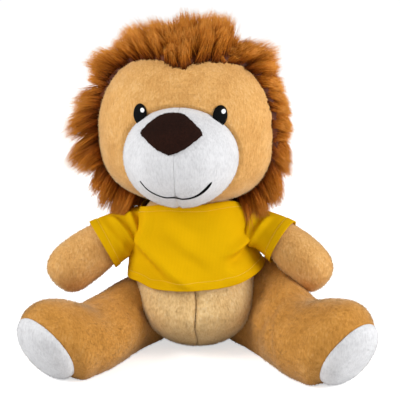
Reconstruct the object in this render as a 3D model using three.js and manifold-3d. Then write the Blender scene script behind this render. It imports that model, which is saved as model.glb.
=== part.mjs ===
// A seated plush lion in a T-shirt: sewn plush covers over fibre filling, a long-pile mane, embroidered
// eyes and mouth, and a knitted shirt that closes at the back.
// Millimetres, +Z up. The lion sits on z = 0 and looks along -Y, so its own right side is at -X.
import * as THREE from "three";
import { mergeVertices } from "three/addons/utils/BufferGeometryUtils.js";
import Module from "manifold-3d";

const wasm = await Module();
wasm.setup();

const degrees = THREE.MathUtils.degToRad;

// Fabric and clearances
const gap = 0.3; // between pieces that touch
const plushWall = 2.4; // short-pile plush, backing and pile together
const knitWall = 1.2; // shirt jersey
const overrun = 40; // how far a cutter runs past what it cuts

// Torso
const torsoHalfWidth = 48;
const torsoHalfDepth = 46;
const torsoHeight = 130;
const torsoLean = 5; // the top leans this far to the lion's right
const seatSetback = 8; // the flat that it sits on lies this far behind the middle
const seatRise = 40; // the setback has gone by this height
const bellyForward = 11; // how far the belly swells over the thighs
const bellyHeight = 30; // the swell is fullest at this height
const bellySpread = 20; // how far up and down the swell reaches
const neckRadius = 27; // the opening where head and torso are sewn together
const sideSeamSetback = 6; // side seams lie this far behind the middle

// Head
const headHalfWidth = 70;
const headHalfDepth = 60;
const headHalfHeight = 62;
const headShift = 7.5; // the head sits this far to the lion's right
const headSetback = 2;
const headSeatDepth = 8; // how far the head settles into the neck
const headTurn = degrees(-6); // towards the lion's right

// Muzzle and face
const muzzleHalfWidth = 45;
const muzzleHalfDepth = 45;
const muzzleHalfHeight = 37;
const muzzleForward = 47;
const muzzleDrop = 19.5;
const noseWidth = 46.5;
const noseHeight = 36;
const noseRise = 11.5; // nose centre above the muzzle's centre
const noseShift = 2.5; // sewn on this far to the lion's right of the muzzle's seam
const nosePitch = degrees(24);
const noseWall = 1.6;
const eyeWidth = 11;
const eyeHeight = 15.5;
const eyeSpacing = 60;
const eyeRise = 14.5;
const stitchWall = 0.8; // raised satin stitching
const glintWidth = 3.4;
const glintRise = 2.8;
const glintOffset = 1.8;
const mouthWidth = 53;
const mouthDrop = 10.5; // mouth corners below the muzzle's centre
const mouthSag = 11.5;
const mouthLine = 1.5;

// Mane
const maneHalfWidth = 87;
const maneHalfHeight = 79;
const maneShift = 7; // the mane spreads further to the lion's right
const maneLean = 27; // how much further forward the mane's edge is on top than level with the head's middle
const manePeak = 13; // how far the hairline dips forward in the middle of the forehead
const manePeakWidth = 12;
const maneSwing = 12; // how much further forward its edge is on the lion's left side than in the middle
const maneRear = 77; // behind the head's middle
const maneEdge = 4; // the face seam lies this far in front of the head's middle
const maneLocks = 22;
const maneLockDepth = 5;
const maneClearance = 1.2; // above the shirt's shoulders

// Arms
const armLength = 87;
const armHalfHeight = 21;
const armHalfWidth = 19;
const shoulderHalfSpan = 38;
const shoulderHeight = 98;
const shoulderSetback = 2;
const rightArmDroop = degrees(14);
const leftArmDroop = degrees(5);
const rightArmForward = degrees(14);
const leftArmForward = degrees(21);
const rightArmSag = 22; // how far the hand's end hangs below the line of the upper arm
const leftArmSag = 31;
const armLimits = [-2, 22].map(degrees);

// Legs
const legLength = 111; // hip to the middle of the sole seam
const thighHalfWidth = 26.5;
const thighHeight = 60;
const thighInset = 2.5; // its middle lies this far to the inside of the leg's line
const ankleHalfWidth = 33;
const ankleHeight = 55;
const ankleInset = 3;
const footHalfWidth = 34;
const footHeight = 65;
const footInset = 2;
const soleHalfWidth = 27.5;
const soleHalfHeight = 31.5;
const soleBulge = 14;
const soleTilt = degrees(30); // toes lean out over the heel
const soleTurn = degrees(7); // soles face further out than the legs point
const hipHalfSpan = 45;
const hipForward = 3;
const pelvisTurn = degrees(7); // the hips are turned towards the lion's right
const rightLegSplay = degrees(38.5); // out from straight ahead
const leftLegSplay = degrees(37.5);
const legLimits = [-12, 4].map(degrees);
const legRestShare = 0.8; // a section's middle height beside its half height: below 1 makes a flat underside

// Tail
const tailLength = 47;
const tailRadius = 7;
const tailRootHeight = 16;
const tuftLength = 34;
const tuftRadius = 13;
const tuftLocks = 9;
const tuftLockDepth = 2.2;
const tailLimits = [-20, 20].map(degrees);

// Shirt
const shirtEase = 2.4; // room between plush and shirt
const shirtFlare = 3; // extra room at the hem
const shirtFoldDepth = 1.1;
const shirtFolds = 7;
const shirtHemHeight = 58; // at the middle of the front
const shirtHemRise = 6; // how much higher the hem is where it passes over the thighs
const shirtTopDrop = 6; // top of the shirt below the top of the torso
const shirtSeamSetback = 3; // its side and shoulder seams lie this far behind the middle
const collarHalfWidth = 40;
const collarHalfDepth = 26;
const sleeveReach = 38; // shoulder pivot to cuff
const sleeveEase = 1;
const sleeveCapFlare = 3; // the sleeve widens where it is sewn over the armhole
const sleeveCapReach = 22;
const armholeClearance = 1.2;
const flapWidth = 14; // how far the left back panel laps over the right one
const tapeWidth = 10; // hook and loop tapes under the flap
const tapeHeight = 22;
const tapeWall = 0.8;
const tapeDrop = 8; // top of the tapes below the shirt's top

const shirtTopHeight = torsoHeight - shirtTopDrop;
const up = new THREE.Vector3(0, 0, 1);
const quarterTurn = Math.PI / 2;
const fullTurn = 2 * Math.PI;

// Solids

/** The closed solid that a geometry bounds: its shared corners merged, its faces turned outwards. */
function solidOf(geometry) {
  const bare = geometry.index ? geometry.toNonIndexed() : geometry.clone();
  bare.deleteAttribute("normal");
  bare.deleteAttribute("uv");
  const merged = mergeVertices(bare, gap / 1000);
  const corners = merged.index.array;
  const vertProperties = merged.attributes.position.array;
  const faces = [];
  for (let i = 0; i < corners.length; i += 3) {
    const [a, b, c] = corners.slice(i, i + 3);
    if (a !== b && b !== c && c !== a) faces.push(a, b, c);
  }
  const bound = (order) =>
    new wasm.Manifold(new wasm.Mesh({ numProp: 3, vertProperties, triVerts: new Uint32Array(order) }));
  const solid = bound(faces);
  return solid.volume() >= 0 ? solid : bound(faces.toReversed());
}

/** The three.js geometry of a solid. */
function geometryOf(solid) {
  const mesh = solid.getMesh();
  const places = new Float32Array(mesh.numVert * 3);
  for (let i = 0; i < mesh.numVert; i++) {
    places.set(mesh.vertProperties.subarray(i * mesh.numProp, i * mesh.numProp + 3), i * 3);
  }
  const geometry = new THREE.BufferGeometry();
  geometry.setAttribute("position", new THREE.BufferAttribute(places, 3));
  geometry.setIndex(new THREE.BufferAttribute(mesh.triVerts, 1));
  geometry.computeVertexNormals();
  return geometry;
}

/** One geometry less all the others. */
function less(geometry, ...cutters) {
  return geometryOf(cutters.reduce((solid, cutter) => solid.subtract(solidOf(cutter)), solidOf(geometry)));
}

/** What all the geometries share. */
function shared(...geometries) {
  return geometryOf(geometries.map(solidOf).reduce((solid, other) => solid.intersect(other)));
}

/** Several geometries as one. */
function joined(...geometries) {
  return geometryOf(geometries.map(solidOf).reduce((solid, other) => solid.add(other)));
}

/** A copy of a geometry, moved or mirrored by a matrix. */
function moved(geometry, matrix) {
  const copy = geometry.clone().applyMatrix4(matrix);
  return matrix.determinant() < 0 ? geometryOf(solidOf(copy)) : copy;
}

/** A turn about a line through a point. */
function turnAbout(point, axis, angle) {
  return new THREE.Matrix4()
    .makeTranslation(point)
    .multiply(new THREE.Matrix4().makeRotationAxis(axis, angle))
    .multiply(new THREE.Matrix4().makeTranslation(point.clone().negate()));
}

/** A geometry with each corner moved by a function. */
function reshaped(geometry, reshape) {
  const places = geometry.attributes.position;
  const corner = new THREE.Vector3();
  for (let i = 0; i < places.count; i++) {
    reshape(corner.fromBufferAttribute(places, i));
    places.setXYZ(i, corner.x, corner.y, corner.z);
  }
  return geometry;
}

/** A smooth form turned about +Z from [radius share, height share] points, one unit wide and high. */
function turnedForm(profileShares, rows, columns) {
  const places = profileShares.map(([radius, height]) => new THREE.Vector2(radius, height));
  const outline = new THREE.SplineCurve(places)
    .getPoints(rows)
    .map((point) => point.setX(Math.max(point.x, 0)));
  outline[0].x = 0;
  outline[rows].x = 0;
  return new THREE.LatheGeometry(outline, columns).rotateX(quarterTurn);
}

/** A stuffed ball with the given half sizes, its poles on Z. */
function puff(halfWidth, halfDepth, halfHeight, columns, rows) {
  return new THREE.SphereGeometry(1, columns, rows)
    .rotateX(quarterTurn)
    .scale(halfWidth, halfDepth, halfHeight);
}

/** All of space on one side of a plane across an axis, as far as anything here reaches. */
function sideOf(axis, place, direction) {
  const reach = torsoHeight + 2 * headHalfHeight + 2 * maneRear + overrun;
  const middle = new THREE.Vector3().setComponent(axis, place + (direction * reach) / 2);
  return new THREE.BoxGeometry(
    axis === 0 ? reach : 2 * reach,
    axis === 1 ? reach : 2 * reach,
    axis === 2 ? reach : 2 * reach,
  ).translate(middle.x, middle.y, middle.z);
}

/** A flat outline in the XZ plane as a prism that runs from Y = 0 a given way forwards. */
function prism(outline, length) {
  const extent = { depth: length, bevelEnabled: false };
  return new THREE.ExtrudeGeometry(new THREE.Shape(outline), extent).rotateX(quarterTurn);
}

/** A smooth closed outline through points given as shares of a half width and a half height. */
function smoothOutline(pointShares, halfWidth, halfHeight, count) {
  return new THREE.CatmullRomCurve3(
    pointShares.map(([x, z]) => new THREE.Vector3(x * halfWidth, z * halfHeight)),
    true,
  )
    .getPoints(count)
    .slice(0, count)
    .map((point) => new THREE.Vector2(point.x, point.y));
}

/** The outline of an ellipse. */
function ellipse(x, z, width, height, count) {
  return new THREE.EllipseCurve(x, z, width / 2, height / 2).getPoints(count).slice(0, count);
}

/** A piece of the model: its geometry under the name and material of that piece. */
function piece(name, geometry, material) {
  const mesh = new THREE.Mesh(geometry, material);
  mesh.name = name;
  return mesh;
}

const sides = [
  [1, "left"],
  [-1, "right"],
];

// Materials

const cloth = (color, roughness) => new THREE.MeshStandardMaterial({ color, roughness, metalness: 0 });
const tanPlush = cloth(0xd9a869, 0.95);
const bellyPlush = cloth(0xdcb27c, 0.95);
const whitePlush = cloth(0xf1f0ef, 0.95);
const nosePlush = cloth(0x2f130c, 0.9);
const maneFur = cloth(0xa05c1e, 0.95);
const blackThread = cloth(0x101010, 0.5);
const whiteThread = cloth(0xfafafa, 0.5);
const yellowJersey = cloth(0xdcae12, 0.8);
const yellowTape = cloth(0xc99f10, 0.9);
const fibreFilling = cloth(0xf4f4f0, 1);

// Torso: a pear, fullest at the hips, flat where it sits.

const torsoProfileShares = [
  [0, 0],
  [0.32, 0],
  [0.6, 0.045],
  [0.84, 0.15],
  [0.97, 0.29],
  [1, 0.45],
  [0.98, 0.6],
  [0.9, 0.76],
  [0.77, 0.88],
  [0.56, 0.955],
  [0.3, 0.992],
  [0, 1],
];
const chestDepthShare = 0.84; // how deep the top is beside the bottom
const bellyFrontShare = 0.6; // the belly's swell is full this share of the half depth in front of the middle

/** The torso's form, larger all round by an allowance. */
function torsoForm(allowance, rows = 14, columns = 24) {
  const form = turnedForm(torsoProfileShares, rows, columns);
  form.scale(torsoHalfWidth + allowance, torsoHalfDepth + allowance, torsoHeight);
  return reshaped(form, (corner) => {
    const riseShare = Math.min(1, Math.max(0, corner.z / torsoHeight));
    corner.y *= THREE.MathUtils.lerp(1, chestDepthShare, riseShare);
    const frontShare = THREE.MathUtils.smoothstep(-corner.y / torsoHalfDepth, 0, bellyFrontShare);
    corner.y -= bellyForward * frontShare * Math.exp(-(((corner.z - bellyHeight) / bellySpread) ** 2));
    corner.y += seatSetback * Math.max(0, 1 - corner.z / seatRise);
    corner.x -= torsoLean * riseShare;
    corner.z = Math.max(0, corner.z + allowance * riseShare * riseShare);
  });
}

/** The torso's form as the fabric's inner face, standing on the fabric. */
function torsoInside(allowance) {
  return torsoForm(-plushWall - allowance, 9, 14).translate(0, 0, plushWall + allowance);
}

const jowlShare = 0.78; // 1 leaves the lower half of the head round, less fills out its cheeks

/** A ball of radius 1 with its lower half filled out. */
function jowled(columns, rows) {
  return reshaped(puff(1, 1, 1, columns, rows), (corner) => {
    const radius = Math.hypot(corner.x, corner.y);
    if (corner.z >= 0 || radius < gap / headHalfWidth) return;
    const wider = radius ** (jowlShare - 1);
    corner.set(corner.x * wider, corner.y * wider, -((-corner.z) ** jowlShare));
  });
}

const headCentre = new THREE.Vector3(-headShift, headSetback, torsoHeight - headSeatDepth + headHalfHeight);

/** Everything that the round underside of the head sweeps as it turns. */
function headSeat() {
  const radius = Math.max(headHalfWidth, headHalfDepth) + gap;
  return jowled(24, 16)
    .scale(radius, radius, headHalfHeight + gap)
    .translate(headCentre.x, headCentre.y, headCentre.z);
}

/** The hole through both covers where the head is sewn to the torso. */
function neckOpening() {
  return new THREE.CylinderGeometry(neckRadius, neckRadius, 2 * (headSeatDepth + 2 * plushWall), 24)
    .rotateX(quarterTurn)
    .translate(headCentre.x, headCentre.y, torsoHeight - headSeatDepth / 2);
}

function buildTorso() {
  const group = new THREE.Group();
  const cover = less(torsoForm(0), torsoInside(0), headSeat(), neckOpening());
  const front = sideOf(1, sideSeamSetback - gap / 2, -1);
  for (const [side, name] of sides) {
    const half = shared(cover, front, sideOf(0, (side * gap) / 2, side));
    group.add(piece("belly_panel_" + name, half, bellyPlush));
  }
  group.add(piece("back_panel", shared(cover, sideOf(1, sideSeamSetback + gap / 2, 1)), tanPlush));
  group.add(piece("torso_filling", less(torsoInside(gap), headSeat()), fibreFilling));
  return group;
}

// Head: built about the middle of the head, looking along -Y.

/** The stuffed ball of the head, larger all round by an allowance. */
function headBall(allowance, columns = 24, rows = 16) {
  const sizes = [headHalfWidth, headHalfDepth, headHalfHeight].map((size) => size + allowance);
  return jowled(columns, rows).scale(...sizes);
}

/** The stuffed egg of the muzzle, larger all round by an allowance. */
function muzzleEgg(allowance, columns = 22, rows = 14) {
  return puff(
    muzzleHalfWidth + allowance,
    muzzleHalfDepth + allowance,
    muzzleHalfHeight + allowance,
    columns,
    rows,
  ).translate(0, -muzzleForward, -muzzleDrop);
}

const maneProfileShares = [
  // [share of the mane's radius, share of the way from the face seam to the back]
  [0, 0],
  [0.7, 0],
  [0.86, 0.01],
  [0.97, 0.08],
  [1, 0.22],
  [0.97, 0.42],
  [0.84, 0.68],
  [0.54, 0.9],
  [0, 1],
];
// [share of the mane's radius where its locks start, share where they are full]
const maneLockShares = [0.8, 0.98];
const maneSwellShares = [0.7, 0.5]; // slow waves in the mane's outline beside the depth of its locks

/** The outside of the mane with its locks, larger all round by an allowance, closed behind the face seam. */
function maneForm(allowance) {
  const length = maneRear + maneEdge;
  const form = turnedForm(maneProfileShares, 11, 2 * maneLocks);
  form.scale(maneHalfWidth + allowance, maneHalfHeight + allowance, length + 2 * allowance);
  form.rotateX(-quarterTurn).translate(-maneShift, -maneEdge - allowance, 0);
  return reshaped(form, (corner) => {
    const x = corner.x + maneShift;
    const radius = Math.hypot(x, corner.z);
    const backShare = Math.min(1, Math.max(0, (corner.y + maneEdge) / length));
    const turn = Math.atan2(corner.z, x);
    const lock = maneLockDepth * Math.cos(maneLocks * turn);
    const [slowShare, quickShare] = maneSwellShares;
    const swell = maneLockDepth * (slowShare * Math.sin(3 * turn + 2) + quickShare * Math.sin(7 * turn));
    const fullness = THREE.MathUtils.smoothstep(radius / maneHalfHeight, ...maneLockShares);
    const ratio = radius > 0 ? 1 + (fullness * (lock + swell)) / (2 * radius) : 1;
    corner.x += x * (ratio - 1);
    corner.z *= ratio;
    const peak = corner.z > 0 ? manePeak * Math.exp(-((x / manePeakWidth) ** 2)) : 0;
    const lean = (maneLean * corner.z) / headHalfHeight + (maneSwing * x) / headHalfWidth;
    corner.y -= (1 - backShare) * (lean + peak);
  });
}

/** What the mane stays clear of below: the shirt's shoulders and the neck, as the head turns over them. */
function underMane() {
  const floor = shirtTopHeight + maneClearance - headCentre.z;
  const crown = torsoHeight + maneClearance - headCentre.z;
  const collar = new THREE.CylinderGeometry(collarHalfDepth, torsoHalfWidth, crown - floor, 24)
    .rotateX(quarterTurn)
    .translate(0, 0, (crown + floor) / 2);
  return joined(sideOf(2, floor, -1), collar);
}

/** A thin skin over a form, kept to where a prism meets it. */
function patch(form, clearance, thickness, outline) {
  return shared(less(form(clearance + thickness), form(clearance)), outline);
}

const noseShares = [
  [0, -1],
  [-0.36, -0.74],
  [-0.78, -0.26],
  [-1, 0.14],
  [-0.74, 0.56],
  [-0.28, 0.94],
  [0.28, 0.96],
  [0.74, 0.56],
  [1, 0.1],
  [0.78, -0.3],
  [0.36, -0.76],
];
const mouthShares = [
  // [share of half the mouth's width, share of its sag], from the lion's right corner to its left
  [-1, 0],
  [-0.68, -0.66],
  [-0.3, -0.98],
  [0, -0.94],
  [0.3, -1],
  [0.68, -0.7],
  [1, 0],
];

/** The outline of the mouth's line, as wide as its stitches. */
function mouthOutline(count) {
  const path = new THREE.SplineCurve(
    mouthShares.map(([x, z]) => new THREE.Vector2((x * mouthWidth) / 2, z * mouthSag)),
  );
  const edge = (side) =>
    path.getPoints(count).map((point, i) => {
      const tangent = path.getTangent(i / count);
      return point.add(new THREE.Vector2(-tangent.y, tangent.x).multiplyScalar((side * mouthLine) / 2));
    });
  return [...edge(1), ...edge(-1).reverse()];
}

function buildHead() {
  const group = new THREE.Group();
  group.position.copy(headCentre);
  group.rotation.z = headTurn;
  const forward = muzzleForward + muzzleHalfDepth + overrun;
  const onMuzzle = (shift, rise, pitch) =>
    new THREE.Matrix4()
      .makeTranslation(-shift, -muzzleForward, rise - muzzleDrop)
      .multiply(new THREE.Matrix4().makeRotationX(-pitch));

  const neck = moved(neckOpening(), new THREE.Matrix4().makeTranslation(headCentre.clone().negate()));
  const skin = less(headBall(0), headBall(-plushWall, 16, 10), neck);
  group.add(piece("face_panel", less(skin, maneForm(gap), muzzleEgg(gap)), tanPlush));

  const muzzleSkin = less(muzzleEgg(0), muzzleEgg(-plushWall, 12, 8), headBall(-plushWall, 16, 10));
  for (const [side, name] of sides) {
    const half = shared(muzzleSkin, sideOf(0, (side * gap) / 2, side));
    group.add(piece("muzzle_panel_" + name, half, whitePlush));
  }
  const noseOutline = smoothOutline(noseShares, noseWidth / 2, noseHeight / 2, 26);
  const nose = moved(prism(noseOutline, forward), onMuzzle(noseShift, noseRise, nosePitch));
  group.add(piece("nose_patch", patch(muzzleEgg, gap, noseWall, nose), nosePlush));
  const mouth = moved(prism(mouthOutline(20), forward), onMuzzle(0, -mouthDrop, 0));
  group.add(piece("mouth_stitching", patch(muzzleEgg, gap, stitchWall, mouth), blackThread));

  for (const [side, name] of sides) {
    const x = (side * eyeSpacing) / 2;
    const oval = prism(ellipse(x, eyeRise, eyeWidth, eyeHeight, 20), forward);
    const eye = patch(headBall, gap, stitchWall, oval);
    group.add(piece("eye_" + name, less(eye, muzzleEgg(gap)), blackThread));
    const glint = prism(ellipse(x + glintOffset, eyeRise + glintRise, glintWidth, glintWidth, 10), forward);
    const white = patch(headBall, 2 * gap + stitchWall, stitchWall, glint);
    group.add(piece("eye_glint_" + name, white, whiteThread));
  }

  // The mane: a band of long pile round the face, and two panels that meet down the back of the head.
  const mane = less(maneForm(0), headBall(-plushWall, 16, 10), muzzleEgg(gap), underMane(), neck);
  const bandBack = (maneRear - maneEdge) / 3;
  group.add(piece("mane_band", shared(mane, sideOf(1, bandBack - gap / 2, -1)), maneFur));
  const backs = shared(mane, sideOf(1, bandBack + gap / 2, 1));
  for (const [side, name] of sides) {
    group.add(piece("mane_back_" + name, shared(backs, sideOf(0, (side * gap) / 2, side)), maneFur));
  }

  const filling = joined(headBall(-plushWall - gap, 16, 10), muzzleEgg(-plushWall - gap, 12, 8));
  group.add(piece("head_filling", filling, fibreFilling));
  return group;
}

// Limbs: each is built where it lies and cut back from all that the torso sweeps as the limb moves.

/** The torso as a limb meets it from one of its joint's limits to the other. */
function torsoSeenBy({ pivot, axis }, [low, high], count = 4) {
  return Array.from({ length: count }, (_, i) => {
    const angle = THREE.MathUtils.lerp(low, high, i / (count - 1));
    return moved(torsoForm(gap), turnAbout(pivot, axis, -angle));
  });
}

const armProfileShares = [
  // [share of the arm's half size, share of its length from the shoulder pivot]
  [0, -0.2],
  [0.6, -0.16],
  [0.74, 0.06],
  [0.9, 0.34],
  [1, 0.64],
  [0.95, 0.84],
  [0.62, 0.96],
  [0, 1],
];

/** An arm's shoulder, bearing, sag and joint axis. The joint lifts the arm. */
function armOn(side) {
  const [droop, forward, sag] =
    side > 0 ? [leftArmDroop, leftArmForward, leftArmSag] : [rightArmDroop, rightArmForward, rightArmSag];
  const lean = (torsoLean * shoulderHeight) / torsoHeight;
  const pivot = new THREE.Vector3(side * shoulderHalfSpan - lean, shoulderSetback, shoulderHeight);
  const bearing = new THREE.Vector3(
    side * Math.cos(droop) * Math.cos(forward),
    -Math.cos(droop) * Math.sin(forward),
    -Math.sin(droop),
  );
  const across = new THREE.Vector3().crossVectors(up, bearing).normalize();
  const above = new THREE.Vector3().crossVectors(bearing, across);
  const frame = new THREE.Matrix4().makeBasis(across, above, bearing).setPosition(pivot);
  return { pivot, sag, frame, axis: new THREE.Vector3(0, -side, 0) };
}

/** What lies along an arm's straight axis, bent to the arm's sag and put in its place. */
function hung(arm, geometry) {
  const bent = reshaped(geometry, (corner) => {
    const reachShare = Math.max(0, corner.z / armLength);
    const steepness = arm.sag / armLength;
    const slope = Math.atan(2 * steepness * reachShare);
    const rise = corner.y;
    corner.y = rise * Math.cos(slope) - arm.sag * reachShare ** 2;
    corner.z += rise * Math.sin(slope) - (2 / 3) * armLength * steepness ** 2 * reachShare ** 3;
  });
  return bent.applyMatrix4(arm.frame);
}

/** An arm's form along +Z from its shoulder, larger all round by an allowance. */
function armForm(allowance, rows = 12, columns = 18) {
  const form = turnedForm(armProfileShares, rows, columns);
  return form.scale(armHalfWidth + allowance, armHalfHeight + allowance, armLength + allowance);
}

function buildArm(side, name) {
  const group = new THREE.Group();
  const arm = armOn(side);
  const torso = torsoSeenBy(arm, armLimits);
  const cover = hung(arm, less(armForm(0), armForm(-plushWall, 8, 10)));
  group.add(piece("arm_cover_" + name, less(cover, ...torso), tanPlush));
  const filling = hung(arm, armForm(-plushWall - gap, 8, 10));
  group.add(piece("arm_filling_" + name, less(filling, ...torso), fibreFilling));
  return group;
}

const legStationShares = [
  // [share of the leg's length from the hip, thigh, ankle, foot and sole shares of the section there]
  [-0.29, 0.46, 0, 0, 0],
  [-0.23, 0.78, 0, 0, 0],
  [-0.09, 0.97, 0, 0, 0],
  [0.12, 1, 0, 0, 0],
  [0.4, 0.45, 0.55, 0, 0],
  [0.6, 0, 0.9, 0.1, 0],
  [0.78, 0, 0.2, 0.8, 0],
  [0.92, 0, 0, 0.9, 0.1],
  [1, 0, 0, 0, 1],
];
const soleDomeShares = [
  // [share of the sole seam's size, share of the bulge]
  [0.96, 0.28],
  [0.84, 0.55],
  [0.62, 0.8],
  [0.32, 0.95],
];

/** A closed skin over rings of corners that all have the same count, with a point at each end. */
function skinOver(first, rings, last) {
  const count = rings[0].length;
  const corners = [first, ...rings.flat(), last];
  const faces = [];
  for (let i = 0; i < count; i++) {
    const next = (i + 1) % count;
    faces.push(0, 1 + next, 1 + i);
    for (let ring = 0; ring < rings.length - 1; ring++) {
      const here = 1 + ring * count;
      const there = here + count;
      faces.push(here + i, here + next, there + next, here + i, there + next, there + i);
    }
    const end = 1 + (rings.length - 1) * count;
    faces.push(end + i, end + next, corners.length - 1);
  }
  const geometry = new THREE.BufferGeometry().setFromPoints(corners);
  geometry.setIndex(faces);
  return geometry;
}

/** The middle of a ring of corners. */
function middleOf(ring) {
  return ring.reduce((sum, corner) => sum.add(corner), new THREE.Vector3()).divideScalar(ring.length);
}

/** The half width, half height and inset of each section that a leg passes through. */
const legSections = [
  [thighHalfWidth, thighHeight / (1 + legRestShare), thighInset],
  [ankleHalfWidth, ankleHeight / (1 + legRestShare), ankleInset],
  [footHalfWidth, footHeight / (1 + legRestShare), footInset],
  [soleHalfWidth, soleHalfHeight * Math.cos(soleTilt), 0],
];

/** The way that a sole faces, with its leg along +X. */
function soleFacing() {
  return new THREE.Vector3(1, -Math.tan(soleTurn), -Math.tan(soleTilt)).normalize();
}

/** A leg's form along +X from below its hip, larger all round by an allowance but not below the floor. */
function legForm(allowance, rows = 11, columns = 18) {
  const sizesAt = (station) =>
    new THREE.Vector3(
      ...[0, 1, 2].map((i) =>
        legSections.reduce((sum, section, k) => sum + section[i] * station[k + 1], 0),
      ),
    );
  const sizes = new THREE.CatmullRomCurve3(legStationShares.map(sizesAt));
  const floor = Math.max(0, -allowance);
  const placeOf = ([along, , , foot, sole]) => new THREE.Vector3(along * legLength, foot / 2 + sole, sole);
  const places = new THREE.CatmullRomCurve3(legStationShares.map(placeOf));
  const rings = Array.from({ length: rows + 1 }, (_, row) => {
    const { x: halfWidth, y: halfHeight, z: inset } = sizes.getPoint(row / rows);
    const { x: along, y: footShare, z: soleShare } = places.getPoint(row / rows);
    const middle = halfHeight * THREE.MathUtils.lerp(legRestShare, 1, soleShare);
    return Array.from({ length: columns }, (__, i) => {
      const turn = (fullTurn * i) / columns;
      const aside = inset + (halfWidth + allowance) * Math.cos(turn);
      const rise = (halfHeight + allowance) * Math.sin(turn);
      return new THREE.Vector3(
        along + footShare * (rise * Math.tan(soleTilt) + aside * Math.tan(soleTurn)),
        aside,
        Math.max(middle + rise, floor),
      );
    });
  });
  const seam = rings[rows];
  const seamMiddle = middleOf(seam);
  const outwards = soleFacing();
  for (const [sizeShare, bulgeShare] of soleDomeShares) {
    rings.push(
      seam.map((corner) => {
        const domed = corner.clone().lerp(seamMiddle, 1 - sizeShare);
        domed.addScaledVector(outwards, bulgeShare * (soleBulge + allowance));
        return domed.setZ(Math.max(domed.z, floor));
      }),
    );
  }
  return skinOver(middleOf(rings[0]), rings, seamMiddle.addScaledVector(outwards, soleBulge + allowance));
}

/** A leg's hip, frame and joint axis. The joint swings the foot outwards. */
function legOn(side) {
  const splay = side > 0 ? leftLegSplay : rightLegSplay;
  const pivot = new THREE.Vector3(
    side * hipHalfSpan * Math.cos(pelvisTurn),
    -hipForward - side * hipHalfSpan * Math.sin(pelvisTurn),
    0,
  );
  const ahead = new THREE.Vector3(side * Math.sin(splay), -Math.cos(splay), 0);
  const inwards = new THREE.Vector3(-side * Math.cos(splay), -Math.sin(splay), 0);
  const frame = new THREE.Matrix4().makeBasis(ahead, inwards, up).setPosition(pivot);
  return { pivot, frame, axis: new THREE.Vector3(0, 0, side) };
}

function buildLeg(side, name) {
  const group = new THREE.Group();
  const leg = legOn(side);
  const torso = torsoSeenBy(leg, legLimits);
  const skin = less(legForm(0), legForm(-plushWall, 8, 10));
  const facing = new THREE.Quaternion().setFromUnitVectors(new THREE.Vector3(1, 0, 0), soleFacing());
  const atSeam = new THREE.Matrix4()
    .makeTranslation(legLength, 0, soleHalfHeight * Math.cos(soleTilt))
    .multiply(new THREE.Matrix4().makeRotationFromQuaternion(facing));
  const cover = moved(shared(skin, moved(sideOf(0, -gap / 2, -1), atSeam)), leg.frame);
  const sole = moved(shared(skin, moved(sideOf(0, gap / 2, 1), atSeam)), leg.frame);
  group.add(piece("leg_cover_" + name, less(cover, ...torso), tanPlush));
  group.add(piece("sole_" + name, sole, whitePlush));
  const filling = moved(legForm(-plushWall - gap, 8, 10), leg.frame);
  group.add(piece("leg_filling_" + name, less(filling, ...torso), fibreFilling));
  return group;
}

// Tail: a slim sewn tube that lies back along the floor and ends in a tuft of long pile.

const tuftProfileShares = [
  [0, 0],
  [0.55, 0.02],
  [0.95, 0.25],
  [1, 0.45],
  [0.72, 0.75],
  [0.3, 0.94],
  [0, 1],
];

function buildTail() {
  const group = new THREE.Group();
  const root = new THREE.Vector3(0, torsoHalfDepth - tailRadius, tailRootHeight);
  const end = root.clone().add(new THREE.Vector3(0, tailLength, 0)).setZ(tuftRadius);
  const route = new THREE.CatmullRomCurve3([
    root.clone().sub(new THREE.Vector3(0, tailRadius, 0)),
    root,
    root.clone().lerp(end, 1 / 2).setZ(tuftRadius),
    end,
  ]);
  const round = new THREE.Shape().absarc(0, 0, tailRadius, 0, fullTurn);
  const tube = new THREE.ExtrudeGeometry(round, { steps: 10, extrudePath: route, curveSegments: 6 });
  const torso = torsoSeenBy({ pivot: root, axis: up }, tailLimits);
  group.add(piece("tail_tube", less(tube, ...torso), tanPlush));
  const tuft = turnedForm(tuftProfileShares, 9, 3 * tuftLocks).scale(tuftRadius, tuftRadius, tuftLength);
  reshaped(tuft, (corner) => {
    const lock = tuftLockDepth * Math.cos(tuftLocks * Math.atan2(corner.y, corner.x));
    corner.multiply(new THREE.Vector3(1 + lock / (2 * tuftRadius), 1 + lock / (2 * tuftRadius), 1));
  });
  tuft.rotateX(-quarterTurn).translate(end.x, end.y + gap, end.z);
  group.add(piece("tail_tuft", reshaped(tuft, (corner) => corner.setZ(Math.max(corner.z, 0))), maneFur));
  return group;
}

// Shirt: jersey that follows the torso with room to move, open at hem, collar and cuffs.

/** The shirt's form with its folds, larger all round by an allowance. */
function shirtForm(allowance, rows = 12, columns = 28) {
  return reshaped(torsoForm(shirtEase + allowance, rows, columns), (corner) => {
    const dropShare = 1 - Math.min(1, Math.max(0, corner.z / shirtTopHeight));
    const turn = Math.atan2(corner.y, corner.x);
    const radius = Math.hypot(corner.x, corner.y);
    const fold = shirtFoldDepth * Math.cos(shirtFolds * turn + 2 * dropShare);
    const wider = (dropShare * (shirtFlare + 2 * fold)) / Math.max(radius, torsoHalfDepth);
    corner.x *= 1 + wider;
    corner.y *= 1 + wider;
  });
}

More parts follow.
